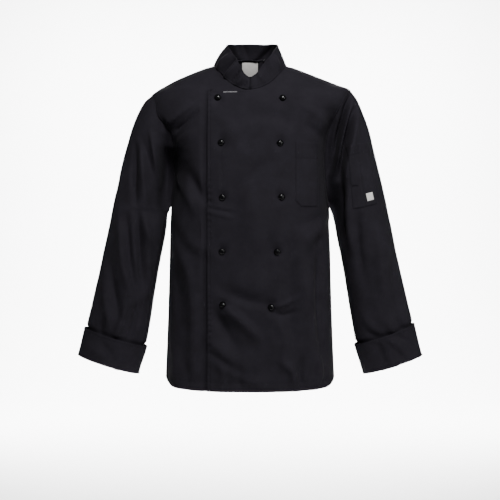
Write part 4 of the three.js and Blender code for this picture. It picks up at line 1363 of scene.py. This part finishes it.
sew("back_sewing", back_sewing(back_points), black_thread)
sew("left_front_sewing", front_sewing(left_points, left_x, left_z, 1), black_thread)
sew("right_front_sewing", front_sewing(right_points, right_x, right_z, -1), black_thread)
for name, net, side in (("left", left_cuff_net[0], 1), ("right", right_cuff_net[0], -1)):
    around = np.arange(0, net.shape[1] + 0.01, 0.5)
    sew(f"{name}_cuff_sewing", [thread_line(net, 1.45, around, side, wrap=True)], black_thread)
sew("collar_sewing", collar_sewing(collar_points), black_thread)
sew("chest_pocket_sewing", chest_pocket_sewing(), black_thread)
sew("sleeve_pocket_sewing", sleeve_pocket_sewing(sleeve_pocket_net[0]), black_thread)

# Worked eyelets: two ribs of close thread either side of each stud's slit
EYELET_HALF = 9.5
EYELET_RIB = 1.3
eyelet_lines = []
for stud_x, stud_z in STUDS["right"] + STUDS["left"]:
    for z in (stud_z - EYELET_RIB, stud_z + EYELET_RIB):
        ends = (stud_x - EYELET_HALF, z), (stud_x + EYELET_HALF, z)
        eyelet_lines.append(surface_line(left_tree, *ends, 24))
sew("worked_eyelets", eyelet_lines, black_thread, pitch=1.0, radius=0.62, fill=1.0)

# The pale bar of close stitches on the lap's top edge and the dark one on the sleeve pocket
bar = [surface_line(left_tree, (-62, -70.6 + 0.8 * k), (-30, -70 + 0.8 * k), 30) for k in (-1, 0, 1)]
sew("lap_bar_tack", bar, pale_thread, pitch=1.6, radius=0.35, fill=0.95)
bar_ends = [((238, -288 - 0.9 * k), (254, -287 - 0.9 * k)) for k in range(3)]
pen_bar = [surface_line(sleeve_pocket_tree, *ends, 20) for ends in bar_ends]
sew("pen_pocket_bar_tack", pen_bar, black_thread, pitch=1.2, radius=0.5, fill=0.98)

# What each piece of cloth measured before it was sewn: width and length in metres, and its area
for piece, node, flat, area, held, rests in (
    (left_front, "left_front", (0.40, 0.80), 0.262, "hung", []),
    (right_front, "right_front", (0.40, 0.80), 0.255, "hung", []),
    (back, "back", (0.58, 0.82), 0.40, "hung", []),
    (left_sleeve, "left_sleeve", (0.46, 0.66), 0.235, "hung", []),
    (right_sleeve, "right_sleeve", (0.46, 0.66), 0.235, "hung", []),
    (left_cuff, "left_cuff", (0.34, 0.104), None, "folded", ["left_sleeve_cloth"]),
    (right_cuff, "right_cuff", (0.34, 0.095), None, "folded", ["right_sleeve_cloth"]),
    (collar, "collar", (0.44, 0.055), None, "hung", []),
    (chest_pocket, "chest_pocket", (0.068, 0.152), None, "laid", ["left_front_cloth"]),
    (sleeve_pocket, "sleeve_pocket", (0.060, 0.150), None, "laid", ["left_sleeve_cloth"]),
    (sleeve_tag, "sleeve_tag", (0.017, 0.020), None, "laid", ["sleeve_pocket_cloth"]),
    (neck_label, "neck_label", (0.041, 0.035), None, "laid", ["back_cloth"]),
):
    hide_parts(node)

bpy.context.view_layer.update()
